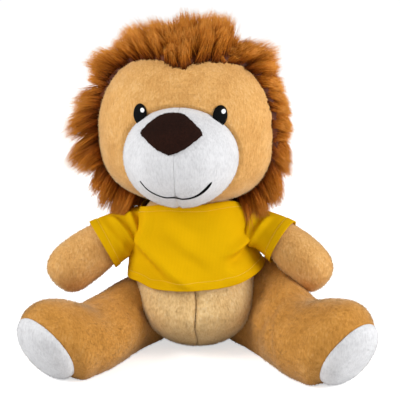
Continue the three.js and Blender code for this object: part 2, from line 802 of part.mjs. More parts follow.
/** Everything below the hem, which rises towards the sides. */
function belowHem() {
  const side = torsoHalfWidth + shirtEase + shirtFlare + overrun;
  const rise = shirtHemRise * (side / torsoHalfWidth) ** 2;
  const hem = new THREE.QuadraticBezierCurve(
    new THREE.Vector2(-side, shirtHemHeight + rise),
    new THREE.Vector2(0, shirtHemHeight - rise),
    new THREE.Vector2(side, shirtHemHeight + rise),
  );
  const below = [side, -side].map((x) => new THREE.Vector2(x, -overrun));
  const outline = [...hem.getPoints(12), ...below];
  const depth = torsoHalfDepth + overrun;
  return prism(outline, 2 * depth).translate(0, depth, 0);
}

/** An arm with its joint at each of a few angles from one limit to the other, larger by an allowance. */
function armSweep(side, allowance, count = 4) {
  const arm = armOn(side);
  return Array.from({ length: count }, (_, i) => {
    const angle = THREE.MathUtils.lerp(...armLimits, i / (count - 1));
    return moved(hung(arm, armForm(allowance)), turnAbout(arm.pivot, arm.axis, angle));
  });
}

/** A sleeve's form along +Z from the shoulder, larger all round by an allowance. */
function sleeveForm(allowance) {
  return reshaped(armForm(sleeveEase + allowance), (corner) => {
    const cap = sleeveCapFlare * (1 - THREE.MathUtils.smoothstep(corner.z, 0, sleeveCapReach));
    const radius = Math.max(Math.hypot(corner.x, corner.y), armHalfWidth / 2);
    corner.x *= 1 + cap / radius;
    corner.y *= 1 + cap / radius;
  });
}

function buildShirt() {
  const group = new THREE.Group();
  const collar = new THREE.CylinderGeometry(1, 1, overrun, 32)
    .rotateX(quarterTurn)
    .scale(collarHalfWidth, collarHalfDepth, 1)
    .translate(-torsoLean, 0, shirtTopHeight);
  const cutters = [
    belowHem(),
    sideOf(2, shirtTopHeight, 1),
    collar,
    headSeat(),
    ...armSweep(1, armholeClearance),
    ...armSweep(-1, armholeClearance),
  ];
  const layer = (inner, outer) => less(shirtForm(outer), shirtForm(inner), ...cutters);
  const shell = layer(0, knitWall);
  group.add(piece("shirt_front", shared(shell, sideOf(1, shirtSeamSetback - gap / 2, -1)), yellowJersey));

  // The back opens down its middle: the left panel laps over the right one and is held by a pair of tapes.
  const back = shared(shell, sideOf(1, shirtSeamSetback + gap / 2, 1));
  const loopInner = knitWall + gap;
  const hookInner = loopInner + tapeWall + gap;
  const flapInner = hookInner + tapeWall + gap;
  const rear = sideOf(1, shirtSeamSetback, 1);
  const flapEnd = sideOf(0, knitWall + gap, -1);
  const flap = shared(layer(flapInner, flapInner + knitWall), rear, sideOf(0, -flapWidth, 1), flapEnd);
  const step = shared(layer(0, flapInner + knitWall), rear, sideOf(0, gap / 2, 1), flapEnd);
  group.add(piece("shirt_back_right", shared(back, sideOf(0, -gap / 2, -1)), yellowJersey));
  const left = joined(shared(back, sideOf(0, gap / 2, 1)), flap, step);
  group.add(piece("shirt_back_left", left, yellowJersey));
  const tapeRight = -(flapWidth + tapeWidth) / 2;
  const tapeTop = shirtTopHeight - tapeDrop;
  const tapeBounds = [
    rear,
    sideOf(0, tapeRight, 1),
    sideOf(0, tapeRight + tapeWidth, -1),
    sideOf(2, tapeTop, -1),
    sideOf(2, tapeTop - tapeHeight, 1),
  ];
  const tape = (inner) => shared(layer(inner, inner + tapeWall), ...tapeBounds);
  group.add(piece("closure_loop_tape", tape(loopInner), yellowTape));
  group.add(piece("closure_hook_tape", tape(hookInner), yellowTape));

  for (const [side, name] of sides) {
    const arm = armOn(side);
    const tube = less(sleeveForm(knitWall), sleeveForm(0), sideOf(2, sleeveReach, 1));
    const sleeve = less(hung(arm, tube), shirtForm(knitWall + gap), torsoForm(gap));
    group.add(piece("sleeve_" + name, sleeve, yellowJersey));
  }
  return group;
}

const lion = new THREE.Group();
lion.add(buildTorso(), buildHead());
for (const [side, name] of sides) lion.add(buildArm(side, name), buildLeg(side, name));
lion.add(buildTail(), buildShirt());

export default lion;
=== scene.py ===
"""Looks of a seated plush lion in a knitted shirt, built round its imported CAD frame.

Shapes are worked out in millimetres in the frame's axes (+Z up, the face looks along -Y, the lion's own
right is at -X) and turned to metres when a mesh is made. Every sub-assembly is a class, every finish is
a frozen dataclass, and each surface is a function of two parameters on a grid.
"""

import logging
from dataclasses import dataclass, field
from enum import Enum

import bpy
import numpy as np
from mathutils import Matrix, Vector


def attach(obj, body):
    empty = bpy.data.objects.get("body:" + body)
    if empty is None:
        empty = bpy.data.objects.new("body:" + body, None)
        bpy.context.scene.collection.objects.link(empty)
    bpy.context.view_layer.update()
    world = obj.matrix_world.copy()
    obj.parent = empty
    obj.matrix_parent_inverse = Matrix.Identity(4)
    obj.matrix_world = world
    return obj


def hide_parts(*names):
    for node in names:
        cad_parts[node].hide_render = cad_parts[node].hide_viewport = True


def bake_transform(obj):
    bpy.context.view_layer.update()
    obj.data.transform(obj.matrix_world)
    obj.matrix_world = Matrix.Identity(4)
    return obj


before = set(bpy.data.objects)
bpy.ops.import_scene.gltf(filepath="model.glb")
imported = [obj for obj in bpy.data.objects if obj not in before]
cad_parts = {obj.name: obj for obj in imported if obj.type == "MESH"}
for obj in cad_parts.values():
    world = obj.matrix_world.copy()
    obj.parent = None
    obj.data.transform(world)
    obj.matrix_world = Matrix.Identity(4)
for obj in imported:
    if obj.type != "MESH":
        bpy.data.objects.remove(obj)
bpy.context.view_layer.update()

MM = 0.001
TURN = 2 * np.pi
Array = np.ndarray
log = logging.getLogger("plush_lion")


# Arrays and shapes


def unit(vectors: Array) -> Array:
    """Vectors divided by their length, along the last axis."""
    return vectors / np.maximum(np.linalg.norm(vectors, axis=-1, keepdims=True), 1e-12)


def ease(value: Array, low: float, high: float) -> Array:
    """The smooth step 3t^2 - 2t^3, where t goes from 0 at low to 1 at high."""
    t = np.clip((value - low) / (high - low), 0, 1)
    return t * t * (3 - 2 * t)


def spline(shares: list, count: int) -> Array:
    """Points of the uniform Catmull-Rom curve through rows of shares.

    Args:
        shares: The rows that the curve passes through.
        count: How many points to take, evenly by row.

    Returns:
        The points, one row each.
    """
    rows = np.array(shares, float)
    last = len(rows) - 1
    at = np.linspace(0, last, count)
    i = np.minimum(at.astype(int), last - 1)
    t = (at - i)[:, None]
    before, here = rows[np.maximum(i - 1, 0)], rows[i]
    there, after = rows[i + 1], rows[np.minimum(i + 2, last)]
    leave, arrive = (there - before) / 2, (after - here) / 2
    cubic = (2 * here - 2 * there + leave + arrive) * t**3
    return cubic + (3 * there - 3 * here - 2 * leave - arrive) * t**2 + leave * t + here


def ripple(points: Array, wavelength: float, seed: int, stretch: tuple = (1, 1, 1)) -> Array:
    """A smooth unevenness in space, about -1 to 1: the mean of sine waves along random directions.

    Args:
        points: Where to read it, in millimetres.
        wavelength: The middle of the waves' lengths, in millimetres.
        seed: Picks the directions.
        stretch: How much longer the waves are along each axis.

    Returns:
        One value for each point.
    """
    rng = np.random.default_rng(seed)
    ways = unit(rng.normal(size=(14, 3))) / np.array(stretch)
    ways *= TURN / (wavelength * rng.uniform(0.7, 1.5, (14, 1)))
    return 1.6 * np.sin(points @ ways.T + rng.uniform(0, TURN, 14)).mean(-1)


def points_of(*parts: Array) -> Array:
    """Coordinates that broadcast together, as points."""
    return np.stack(np.broadcast_arrays(*parts), -1)


def ring_of(count: int) -> Array:
    """Evenly spaced angles of a whole turn, as one row."""
    return np.linspace(0, TURN, count, endpoint=False)[None, :]


@dataclass
class Skin:
    """Faces in space, in millimetres.

    points has a row for each corner. quads and tris hold their indices. uv has a row for each corner of
    each quad. values holds named numbers for each point, which materials read. normals, if there are
    any, take the place of the faces' own.
    """

    points: Array
    quads: Array
    tris: Array = field(default_factory=lambda: np.zeros((0, 3), int))
    uv: Array | None = None
    values: dict = field(default_factory=dict)
    normals: Array | None = None

    def triangles(self) -> Array:
        """Every face as triangles, a quad as two."""
        return np.vstack([self.quads[:, [0, 1, 2]], self.quads[:, [0, 2, 3]], self.tris])

    def face_normals(self) -> Array:
        """The cross product of two sides of each triangle, twice its area long."""
        a, b, c = (self.points[self.triangles()[:, k]] for k in range(3))
        return np.cross(b - a, c - a)

    def point_normals(self) -> Array:
        """The unit normal at each point: the sum of its triangles' normals, weighted by area.

        Returns:
            A row for each point.
        """
        faces, across = self.triangles(), self.face_normals()
        total = np.zeros_like(self.points)
        for corner in range(3):
            for axis in range(3):
                total[:, axis] += np.bincount(faces[:, corner], across[:, axis], len(total))
        return unit(total)

    def outwards(self) -> "Skin":
        """The same closed skin with its faces turned out, so that its signed volume is above 0.

        The volume is a sixth of the sum of a.(b x c) over its triangles.

        Returns:
            The skin itself.
        """
        a = self.points[self.triangles()[:, 0]]
        if np.einsum("ij,ij->", a, self.face_normals()) < 0:
            self.quads, self.tris = self.quads[:, [0, 3, 2, 1]], self.tris[:, [0, 2, 1]]
            if self.uv is not None:
                self.uv = self.uv[:, [0, 3, 2, 1]]
        return self

    def with_value(self, name: str, value: Array | float) -> "Skin":
        """The same skin with a named number at each point."""
        self.values[name] = np.broadcast_to(value, len(self.points)).astype(float)
        return self

    def toned(self, tone: float = 0.45, shade: float = 0.5) -> "Skin":
        """The same skin with one tone and one shade all over, as its finish reads them."""
        return self.with_value("tone", tone).with_value("shade", shade)

    def joined(self, *others: "Skin") -> "Skin":
        """This skin and others as one, with each point's normal kept.

        Args:
            others: The skins that are added to this one.

        Returns:
            A new skin.
        """
        skins = [self, *others]
        steps = np.cumsum([0] + [len(s.points) for s in skins[:-1]])
        names = self.values.keys()
        return Skin(
            np.vstack([s.points for s in skins]),
            np.vstack([s.quads + n for s, n in zip(skins, steps)]),
            np.vstack([s.tris + n for s, n in zip(skins, steps)]),
            values={k: np.concatenate([s.values[k] for s in skins]) for k in names},
            normals=np.vstack([s.point_normals() if s.normals is None else s.normals for s in skins]),
        )


def skin_of(grid: Array, around: bool = True, loop: bool = False, start: Array | None = None,
            end: Array | None = None, uv: Array | None = None) -> Skin:
    """The faces between neighbours of a grid of points, turned outwards.

    Args:
        grid: Rows and columns of points.
        around: Whether the last column meets the first.
        loop: Whether the last row meets the first.
        start: A point that closes the first row.
        end: A point that closes the last row.
        uv: A grid of pattern coordinates, one row and column larger where the grid closes on itself.

    Returns:
        The skin.
    """
    rows, columns = grid.shape[:2]
    i = np.arange(rows if loop else rows - 1)[:, None]
    j = np.arange(columns if around else columns - 1)[None, :]
    below, above = i % rows * columns, (i + 1) % rows * columns
    here, there = j % columns, (j + 1) % columns
    quads = np.stack([below + here, below + there, above + there, above + here], -1).reshape(-1, 4)
    corners = None
    if uv is not None:
        corners = np.stack([uv[i, j], uv[i, j + 1], uv[i + 1, j + 1], uv[i + 1, j]], -2).reshape(-1, 4, 2)
    points, tris, ring = grid.reshape(-1, 3), [], np.arange(columns)
    if start is not None:
        tris.append(np.stack([np.roll(ring, -1), ring, np.full(columns, len(points))], -1))
        points = np.vstack([points, start])
    if end is not None:
        top = ring + (rows - 1) * columns
        tris.append(np.stack([top, np.roll(top, -1), np.full(columns, len(points))], -1))
        points = np.vstack([points, end])
    return Skin(points, quads, np.vstack(tris) if tris else np.zeros((0, 3), int), corners).outwards()


def slab(outer: Array, thickness: float, rim: float = 0.35) -> Skin:
    """A grid of points as cloth with a thickness and a rounded rim.

    The inner face is the outer one less the thickness along its normals. Round the edge, one more ring
    of points lies halfway between the two and a rim's width outside them.

    Args:
        outer: Rows and columns of points on the outer face.
        thickness: Of the cloth.
        rim: How far the edge bulges.

    Returns:
        The closed skin, with pattern coordinates from the lengths along its rows and columns.
    """
    rows, columns = outer.shape[:2]
    along = np.gradient(outer, axis=1)
    up = np.gradient(outer, axis=0)
    normal = unit(np.cross(along, up))
    inner = outer - thickness * normal
    u = np.cumsum(np.linalg.norm(along, axis=-1), axis=1)
    v = np.cumsum(np.linalg.norm(up, axis=-1), axis=0)
    flat = np.stack([u - u[:, columns // 2][:, None], v], -1)
    index = np.arange(rows * columns).reshape(rows, columns)

    def faces(i: Array) -> Array:
        """The quads between neighbours of a grid of indices."""
        return np.stack([i[:-1, :-1], i[:-1, 1:], i[1:, 1:], i[1:, :-1]], -1).reshape(-1, 4)

    edge = np.concatenate([index[0, :-1], index[:-1, -1], index[-1, :0:-1], index[:0:-1, 0]])
    middle = (outer + inner).reshape(-1, 3)[edge] / 2
    inwards = outer.reshape(-1, 3)[np.concatenate(
        [index[1, :-1], index[:-1, -2], index[-2, :0:-1], index[:0:-1, 1]])]
    middle += rim * unit(outer.reshape(-1, 3)[edge] - inwards)
    count = rows * columns
    ring = 2 * count + np.arange(len(edge))
    after = np.roll(np.arange(len(edge)), -1)
    sides = [np.stack([edge[after], edge, ring, ring[after]], -1),
             np.stack([ring[after], ring, edge + count, edge[after] + count], -1)]
    quads = np.vstack([faces(index), faces(index)[:, ::-1] + count, *sides])
    points = np.vstack([outer.reshape(-1, 3), inner.reshape(-1, 3), middle])
    at = np.vstack([flat.reshape(-1, 2), flat.reshape(-1, 2), flat.reshape(-1, 2)[edge]])
    return Skin(points, quads, uv=at[quads]).outwards()


def pile(skin: Skin, density: float, length: float, width: float, flow: Array, seed: int,
         keep: Array | None = None, stand: float = 0.8) -> Skin:
    """The short pile of a plush: a slim three-sided point at each of many random places on a skin.

    A place is picked by area. Its point leans from the skin's normal towards the flow there, with a
    random share of both. Its shading normal is mostly the skin's, as on real pile, which looks soft.

    Args:
        skin: What the pile grows on.
        density: Points to the square millimetre.
        length: Of a point.
        width: Of a point at its root.
        flow: The way the pile is brushed, for each of the skin's points.
        seed: Picks the places.
        keep: From 0 to 1 for each of the skin's points, the share of the pile that grows there.
        stand: How steeply the pile stands, beside the flow.

    Returns:
        The points of pile as one skin.
    """
    rng = np.random.default_rng(seed)
    faces = skin.triangles()
    area = np.linalg.norm(skin.face_normals(), axis=1) / 2
    weight = area if keep is None else area * keep[faces].mean(1)
    count = int(weight.sum() * density)
    picked = faces[rng.choice(len(faces), count, p=weight / weight.sum())]
    a, b = rng.random((2, count, 1))
    a, b = np.where(a + b > 1, 1 - a, a), np.where(a + b > 1, 1 - b, b)
    shares = np.concatenate([1 - a - b, a, b], 1)[:, :, None]
    root = (skin.points[picked] * shares).sum(1)
    normal = unit((skin.point_normals()[picked] * shares).sum(1))
    brushed = (flow[picked] * shares).sum(1)
    brushed -= normal * (normal * brushed).sum(1, keepdims=True)
    way = unit(stand * normal + brushed + 0.3 * rng.normal(size=(count, 3)))
    side = unit(np.cross(way, rng.normal(size=(count, 3))))
    other = np.cross(way, side)
    turns = np.arange(3) * TURN / 3
    thick = width / 2 * rng.uniform(0.7, 1.3, (count, 1, 1))
    ring = side[:, None] * np.cos(turns)[:, None] + other[:, None] * np.sin(turns)[:, None]
    base = root[:, None] - 0.3 * normal[:, None] + thick * ring
    tip = root + way * length * rng.uniform(0.6, 1.25, (count, 1))
    tip[:, 2] = np.maximum(tip[:, 2], 0.1)
    points = np.concatenate([base, tip[:, None]], 1).reshape(-1, 3)
    first = np.arange(count)[:, None] * 4
    tris = np.concatenate([first + c for c in ([0, 1, 3], [1, 2, 3], [2, 0, 3])], 1).reshape(-1, 3)
    soft = unit(normal[:, None] + 0.35 * np.concatenate([ring, way[:, None]], 1)).reshape(-1, 3)
    # The three base corners are darker than the tip: painted shade in the pile's depth and painted light on
    # its ends.
    tone = np.tile([0.35, 0.35, 0.35, 1.0], count)
    shade = np.repeat(rng.random(count), 4)
    return Skin(points, np.zeros((0, 4), int), tris, values={"tone": tone, "shade": shade}, normals=soft)


def locks(roots: Array, normals: Array, ways: Array, lengths: Array, droop: Array, strands: int,
          spread: Array | float, width: float, seed: int, tint: Array | float = 0.5) -> Skin:
    """Long pile in locks: tapered three-sided strands whose ends are drawn together.

    A lock's middle line is root + length (t way + t^2 droop). A strand starts near the lock's root, runs
    the same way with a little of its own, and is drawn to the middle line by a share that grows as
    t^1.3. Its radius falls as (1 - t)^0.7.

    Args:
        roots: Where each lock grows.
        normals: The skin's normal there.
        ways: The way each lock starts.
        lengths: Of each lock.
        droop: How each lock bends.
        strands: In each lock.
        spread: How far the strands' roots lie from each lock's.
        width: Of a strand at its root.
        seed: Picks what is random.
        tint: How light each lock is, from 0 to 1.

    Returns:
        All the strands as one skin.
    """
    rng = np.random.default_rng(seed)
    count = len(roots)
    t = np.array([0, 0.38, 0.74, 1.0])
    side = unit(np.cross(normals, ways + 0.01))
    other = np.cross(normals, side)
    place = rng.normal(size=(count, strands, 2)) * np.broadcast_to(spread, count)[:, None, None]
    own = roots[:, None] + side[:, None] * place[..., :1] + other[:, None] * place[..., 1:]
    own -= normals[:, None] * (1.2 + 0.012 * (place**2).sum(-1, keepdims=True))
    way = unit(ways[:, None] + 0.13 * rng.normal(size=(count, strands, 3)))
    reach = (lengths[:, None] * rng.uniform(0.72, 1.12, (count, strands)))[:, :, None, None]
    along = t[:, None]
    curl = droop[:, None] + 0.05 * rng.normal(size=(count, strands, 3))
    line = own[:, :, None] + reach * (along * way[:, :, None] + along**2 * curl[:, :, None])
    middle = roots[:, None, None] + reach * (along * ways[:, None, None] + along**2 * droop[:, None, None])
    pull = (0.62 * t**1.3)[:, None]
    line = (1 - pull) * line + pull * middle
    cross = unit(np.cross(way, normals[:, None] + 0.3 * rng.normal(size=(count, strands, 3))))
    over = np.cross(way, cross)
    turns = np.arange(3) * TURN / 3
    ring = cross[:, :, None] * np.cos(turns)[:, None] + over[:, :, None] * np.sin(turns)[:, None]
    radius = (width / 2 * (1 - t[:-1]) ** 0.7)[:, None, None]
    body = line[:, :, :-1, None] + radius * ring[:, :, None]
    total = count * strands
    points = np.concatenate([body.reshape(total, 9, 3), line[:, :, -1].reshape(total, 1, 3)], 1)
    first = np.arange(total)[:, None, None] * 10
    k = np.arange(3)
    after = (k + 1) % 3
    quads = np.stack([np.stack([3 * r + k, 3 * r + after, 3 * r + 3 + after, 3 * r + 3 + k], -1)
                      for r in range(2)]).reshape(1, -1, 4)
    tris = np.vstack([np.stack([6 + k, 6 + after, np.full(3, 9)], -1), [[0, 2, 1]]])[None]
    # Tone rises from 0 at the root to 1 at the tip. The dark roots it gives are painted shade and the pale
    # tips a painted highlight.
    tone = np.tile(np.append(np.repeat(t[:-1], 3), 1.0), total)
    own_tint = np.repeat(rng.random(count), strands * 10) * 0.3 + np.repeat(rng.random(total), 10) * 0.3
    shade = own_tint + 0.4 * np.repeat(np.broadcast_to(tint, count), strands * 10)
    made = Skin(points.reshape(-1, 3), (quads + first).reshape(-1, 4), (tris + first).reshape(-1, 3),
                values={"tone": tone, "shade": shade})
    return made.outwards()


def fold(places: Array, x0: float, y0: float, x1: float, y1: float, high: float, wide: float) -> Array:
    """The height of one fold at each place of a cloth: a bell across its line, faded at both ends.

    Args:
        places: Two lengths for each place.
        x0: Where the fold starts.
        y0: Where it starts, the other way.
        x1: Where it ends.
        y1: Where it ends, the other way.
        high: Its height, negative for a hollow.
        wide: Its half width.

    Returns:
        high exp(-(d / wide)^2) at a distance d from the line.
    """
    run = np.array([x1 - x0, y1 - y0])
    length = np.hypot(*run)
    x, y = places[..., 0] - x0, places[..., 1] - y0
    t = (x * run[0] + y * run[1]) / length**2
    away = (x * run[1] - y * run[0]) / length
    return high * np.exp(-((away / wide) ** 2)) * ease(t, -0.25, 0.2) * (1 - ease(t, 0.75, 1.2))


def stitches(line: Array, normals: Array, pitch: float, length: float, width: float) -> Skin:
    """A row of stitches along a line: each a slim spindle of eight faces that lies on the cloth.

    Args:
        line: The seam's points in order.
        normals: The cloth's normal at each of them.
        pitch: From stitch to stitch.
        length: Of a stitch.
        width: Of its thread.

    Returns:
        The stitches as one skin.
    """
    step = np.linalg.norm(np.diff(line, axis=0), axis=1)
    run = np.concatenate([[0], np.cumsum(step)])
    at = np.arange(pitch / 2, run[-1], pitch)
    middle = np.stack([np.interp(at, run, line[:, k]) for k in range(3)], -1)
    normal = unit(np.stack([np.interp(at, run, normals[:, k]) for k in range(3)], -1))
    tangent = unit(np.stack([np.interp(at + 0.2, run, line[:, k]) for k in range(3)], -1) - middle)
    side = np.cross(normal, tangent)
    middle = middle + 0.25 * width * normal
    ends = [middle - tangent * length / 2, middle + tangent * length / 2]
    waist = [middle + width / 2 * (side * np.cos(a) + normal * np.sin(a)) for a in np.arange(4) * TURN / 4]
    points = np.stack([*ends, *waist], 1).reshape(-1, 3)
    k = np.arange(4)
    after = (k + 1) % 4
    tris = np.vstack([np.stack([np.zeros(4, int), 2 + after, 2 + k], -1),
                      np.stack([np.ones(4, int), 2 + k, 2 + after], -1)])
    tris = (tris[None] + 6 * np.arange(len(at))[:, None, None]).reshape(-1, 3)
    return Skin(points, np.zeros((0, 4), int), tris).outwards()


# Finishes


def linear(code: str) -> tuple:
    """An sRGB hex colour as linear red, green, blue and alpha.

    A channel c goes to ((c + 0.055) / 1.055)^2.4 above 0.04045, and to c / 12.92 below.

    Args:
        code: The colour, such as "#ffe9c8".

    Returns:
        The four channels.
    """
    share = np.array([int(code[k:k + 2], 16) for k in (1, 3, 5)]) / 255
    return (*np.where(share > 0.04045, ((share + 0.055) / 1.055) ** 2.4, share / 12.92), 1.0)


def add(tree: bpy.types.NodeTree, kind: str, inputs: dict | None = None,
        **settings: object) -> bpy.types.Node:
    """A node with its settings, its inputs set or linked.

    Args:
        tree: Where it goes.
        kind: Its type's name.
        inputs: A value or another node's output for each input, by name or place.
        settings: Its own settings.

    Returns:
        The node.
    """
    node = tree.nodes.new(kind)
    for key, value in settings.items():
        setattr(node, key, value)
    for key, value in (inputs or {}).items():
        if isinstance(value, bpy.types.NodeSocket):
            tree.links.new(value, node.inputs[key])
        else:
            node.inputs[key].default_value = value
    return node


def ramp(tree: bpy.types.NodeTree, factor: bpy.types.NodeSocket, stops: list) -> bpy.types.NodeSocket:
    """A colour ramp.

    Args:
        tree: Where it goes.
        factor: What it reads.
        stops: The place and hex colour of each stop.

    Returns:
        Its colour output.
    """
    node = add(tree, "ShaderNodeValToRGB", {0: factor})
    points = node.color_ramp.elements
    while len(points) < len(stops):
        points.new(0.5)
    for point, (place, code) in zip(points, stops):
        point.position, point.color = place, linear(code)
    return node.outputs[0]


def weigh(tree: bpy.types.NodeTree, *terms: tuple) -> bpy.types.NodeSocket:
    """A weighted sum, as a chain of multiply and add nodes.

    Args:
        tree: Where they go.
        terms: An output and its weight for each term.

    Returns:
        The sum's output.
    """
    total = None
    for output, weight in terms:
        inputs = {0: output, 1: weight} if total is None else {0: output, 1: weight, 2: total}
        kind = "MULTIPLY" if total is None else "MULTIPLY_ADD"
        total = add(tree, "ShaderNodeMath", inputs, operation=kind).outputs[0]
    return total


@dataclass(frozen=True)
class Cloth:
    """What every finish of the lion shares: a name, a slot and a principled surface."""

    name: str
    slot: str

    def surface(self, sheen: float, roughness: float, specular: float) -> tuple:
        """A new material with its tree, its shader and its object coordinates.

        Args:
            sheen: Weight of the light that fibres catch at grazing angles.
            roughness: Of the surface.
            specular: Level of the mirror-like part.

        Returns:
            The material, its node tree, its shader and the object coordinates' output.
        """
        material = bpy.data.materials.new(self.name)
        material.use_nodes = True
        tree = material.node_tree
        shader = tree.nodes["Principled BSDF"]
        shader.inputs["Roughness"].default_value = roughness
        shader.inputs["Specular IOR Level"].default_value = specular
        shader.inputs["Sheen Weight"].default_value = sheen
        shader.inputs["Sheen Roughness"].default_value = 0.4
        place = add(tree, "ShaderNodeTexCoord").outputs["Object"]
        return material, tree, shader, place


@dataclass(frozen=True)
class Plush(Cloth):
    """Short-pile polyester plush, circular-knitted, sheared and brushed.

    The pile's ends catch light and its depths stay dark, so the colour is mottled at the size of a tuft
    (about 1.5 mm) and again, more softly, where the pile is brushed another way (about 16 mm).
    """

    deep: str
    body: str
    crest: str
    grain: float = 0.46
    tuft_mm: float = 1.3
    patch_mm: float = 16.0
    relief_mm: float = 0.5
    sheen: float = 0.5
    gleam: str = "#ffe9c8"

    def material(self) -> bpy.types.Material:
        """The plush as a node material.

        Returns:
            The material.
        """
        material, tree, shader, place = self.surface(self.sheen, 0.92, 0.15)
        drawn = add(tree, "ShaderNodeMapping", {0: place, 3: (1.0, 1.0, 0.35)}).outputs[0]
        tuft = add(tree, "ShaderNodeTexNoise",
                   {"Vector": drawn, "Scale": 1 / (self.tuft_mm * MM), "Detail": 3.0}).outputs[0]
        patch = add(tree, "ShaderNodeTexNoise",
                    {"Vector": place, "Scale": 1 / (self.patch_mm * MM), "Detail": 2.0}).outputs[0]
        tone = add(tree, "ShaderNodeAttribute", attribute_name="tone").outputs["Fac"]
        shade = add(tree, "ShaderNodeAttribute", attribute_name="shade").outputs["Fac"]
        mixed = weigh(tree, (tuft, self.grain), (patch, 0.3), (tone, 0.2), (shade, 0.1))
        middle = self.grain / 2 + 0.32
        stops = [(middle - 0.26, self.deep), (middle, self.body), (middle + 0.24, self.crest)]
        colour = ramp(tree, mixed, stops)
        shader.inputs["Sheen Tint"].default_value = linear(self.gleam)
        relief = add(tree, "ShaderNodeBump",
                     {"Height": tuft, "Strength": 0.6, "Distance": self.relief_mm * MM})
        tree.links.new(colour, shader.inputs["Base Color"])
        tree.links.new(relief.outputs[0], shader.inputs["Normal"])
        return material


@dataclass(frozen=True)
class Fur(Cloth):
    """Long-pile acrylic fur fabric with crimped hair, ginger in its shanks. Its dark roots are painted shade
    among the hair, and its pale ends are a painted highlight.
    """

    root: str
    shank: str
    body: str
    end: str

    def material(self) -> bpy.types.Material:
        """The fur as a node material.

        Returns:
            The material.
        """
        material, tree, shader, place = self.surface(0.08, 0.6, 0.2)
        tone = add(tree, "ShaderNodeAttribute", attribute_name="tone").outputs["Fac"]
        shade = add(tree, "ShaderNodeAttribute", attribute_name="shade").outputs["Fac"]
        patch = add(tree, "ShaderNodeTexNoise",
                    {"Vector": place, "Scale": 1 / (14 * MM), "Detail": 2.0}).outputs[0]
        # Tone runs from 0 at a strand's root to 1 at its tip. The root stop is painted shade and the end stop
        # is a painted highlight.
        mixed = weigh(tree, (tone, 0.66), (shade, 0.22), (patch, 0.26))
        stops = [(0.18, self.root), (0.42, self.shank), (0.68, self.body), (1.0, self.end)]
        colour = ramp(tree, mixed, stops)
        shader.inputs["Sheen Tint"].default_value = linear(self.end)
        tree.links.new(colour, shader.inputs["Base Color"])
        return material


@dataclass(frozen=True)
class Jersey(Cloth):
    """Single jersey, knitted cotton, dyed through, with its loops drawn 1.1 mm wide so that they show."""

    shadow: str
    body: str
    light: str
    wale_mm: float = 1.1

    def material(self) -> bpy.types.Material:
        """The jersey as a node material. Its loops follow the cloth's own lengths in millimetres.

        Returns:
            The material.
        """
        material, tree, shader, place = self.surface(0.0, 0.9, 0.05)
        cut = add(tree, "ShaderNodeUVMap", uv_map="UVMap").outputs[0]
        wave = {"Scale": 1 / self.wale_mm * TURN / 20, "Distortion": 0.4, "Detail": 1.0}
        wales = add(tree, "ShaderNodeTexWave", {"Vector": cut, **wave}, bands_direction="X").outputs["Fac"]
        rows = add(tree, "ShaderNodeTexWave", {"Vector": cut, **wave}, bands_direction="Y").outputs["Fac"]
        dye = add(tree, "ShaderNodeTexNoise",
                  {"Vector": place, "Scale": 1 / (30 * MM), "Detail": 2.0}).outputs[0]
        knit = weigh(tree, (wales, 0.7), (rows, 0.3))
        mixed = weigh(tree, (dye, 0.55), (knit, 0.45))
        colour = ramp(tree, mixed, [(0.2, self.shadow), (0.5, self.body), (0.8, self.light)])
        relief = add(tree, "ShaderNodeBump", {"Height": knit, "Strength": 0.1, "Distance": 0.2 * MM})
        tree.links.new(colour, shader.inputs["Base Color"])
        tree.links.new(relief.outputs[0], shader.inputs["Normal"])
        return material


@dataclass(frozen=True)
class Thread(Cloth):
    """Rayon embroidery thread in satin stitch: parallel threads 0.5 mm apart with a silky shine."""

    body: str
    light: str
    roughness: float = 0.5
    specular: float = 0.2
    pitch_mm: float = 0.5

    def material(self) -> bpy.types.Material:
        """The thread as a node material.

        Returns:
            The material.
        """
        material, tree, shader, place = self.surface(0.0, self.roughness, self.specular)
        lie = add(tree, "ShaderNodeTexWave",
                  {"Vector": place, "Scale": 1 / (self.pitch_mm * MM) * TURN / 20, "Distortion": 0.6,
                   "Detail": 1.0}, bands_direction="DIAGONAL").outputs["Fac"]
        colour = ramp(tree, lie, [(0.0, self.body), (1.0, self.light)])
        relief = add(tree, "ShaderNodeBump", {"Height": lie, "Strength": 0.3, "Distance": 0.15 * MM})
        tree.links.new(colour, shader.inputs["Base Color"])
        tree.links.new(relief.outputs[0], shader.inputs["Normal"])
        return material


class Finish(Enum):
    """The lion's cloths and threads."""

    FACE = Plush("tan_short_pile_plush", "tan_plush", deep="#b8803e", body="#dba763", crest="#f0cb94")
    LIMB = Plush("caramel_short_pile_plush", "tan_plush", deep="#a36d26", body="#c58b40", crest="#deac6a")
    BELLY = Plush("beige_brushed_plush", "belly_plush", deep="#bf965c", body="#e4c188", crest="#f5ddb0",
                  grain=0.6)
    WHITE = Plush("white_velboa", "white_plush", deep="#b4b4b6", body="#d4d4d6", crest="#e6e6e8",
                  tuft_mm=1.2, relief_mm=0.2, sheen=0.3, gleam="#ffffff")
    NOSE = Plush("dark_brown_velboa", "nose_plush", deep="#150602", body="#220c04", crest="#32150a",
                 tuft_mm=1.2, relief_mm=0.25, sheen=0.0)
    # root is painted shade at the hair's roots, and end is a painted highlight at its ends
    MANE = Fur("ginger_long_pile_fur", "mane_fur",
               root="#4a1a00", shank="#9c500a", body="#cb7a1a", end="#f2ac52")
    JERSEY = Jersey("golden_yellow_jersey", "yellow_jersey",
                    shadow="#c89900", body="#d1a200", light="#daab04")
    TAPE = Jersey("woven_hook_and_loop_tape", "yellow_tape",
                  shadow="#a88407", body="#c99f10", light="#d8b02a")
    SEWING = Thread("yellow_topstitching_thread", "yellow_jersey", body="#e6c02c", light="#f8e070")
    BLACK = Thread("black_satin_stitch", "black_thread", body="#020202", light="#070707", roughness=0.7,
                   specular=0.08)
    GLINT = Thread("white_satin_stitch", "white_thread", body="#e4e4e4", light="#ffffff")


MADE: dict = {}


def finish_of(finish: Finish) -> bpy.types.Material:
    """The material of a finish, made once."""
    if finish not in MADE:
        MADE[finish] = finish.value.material()
    return MADE[finish]


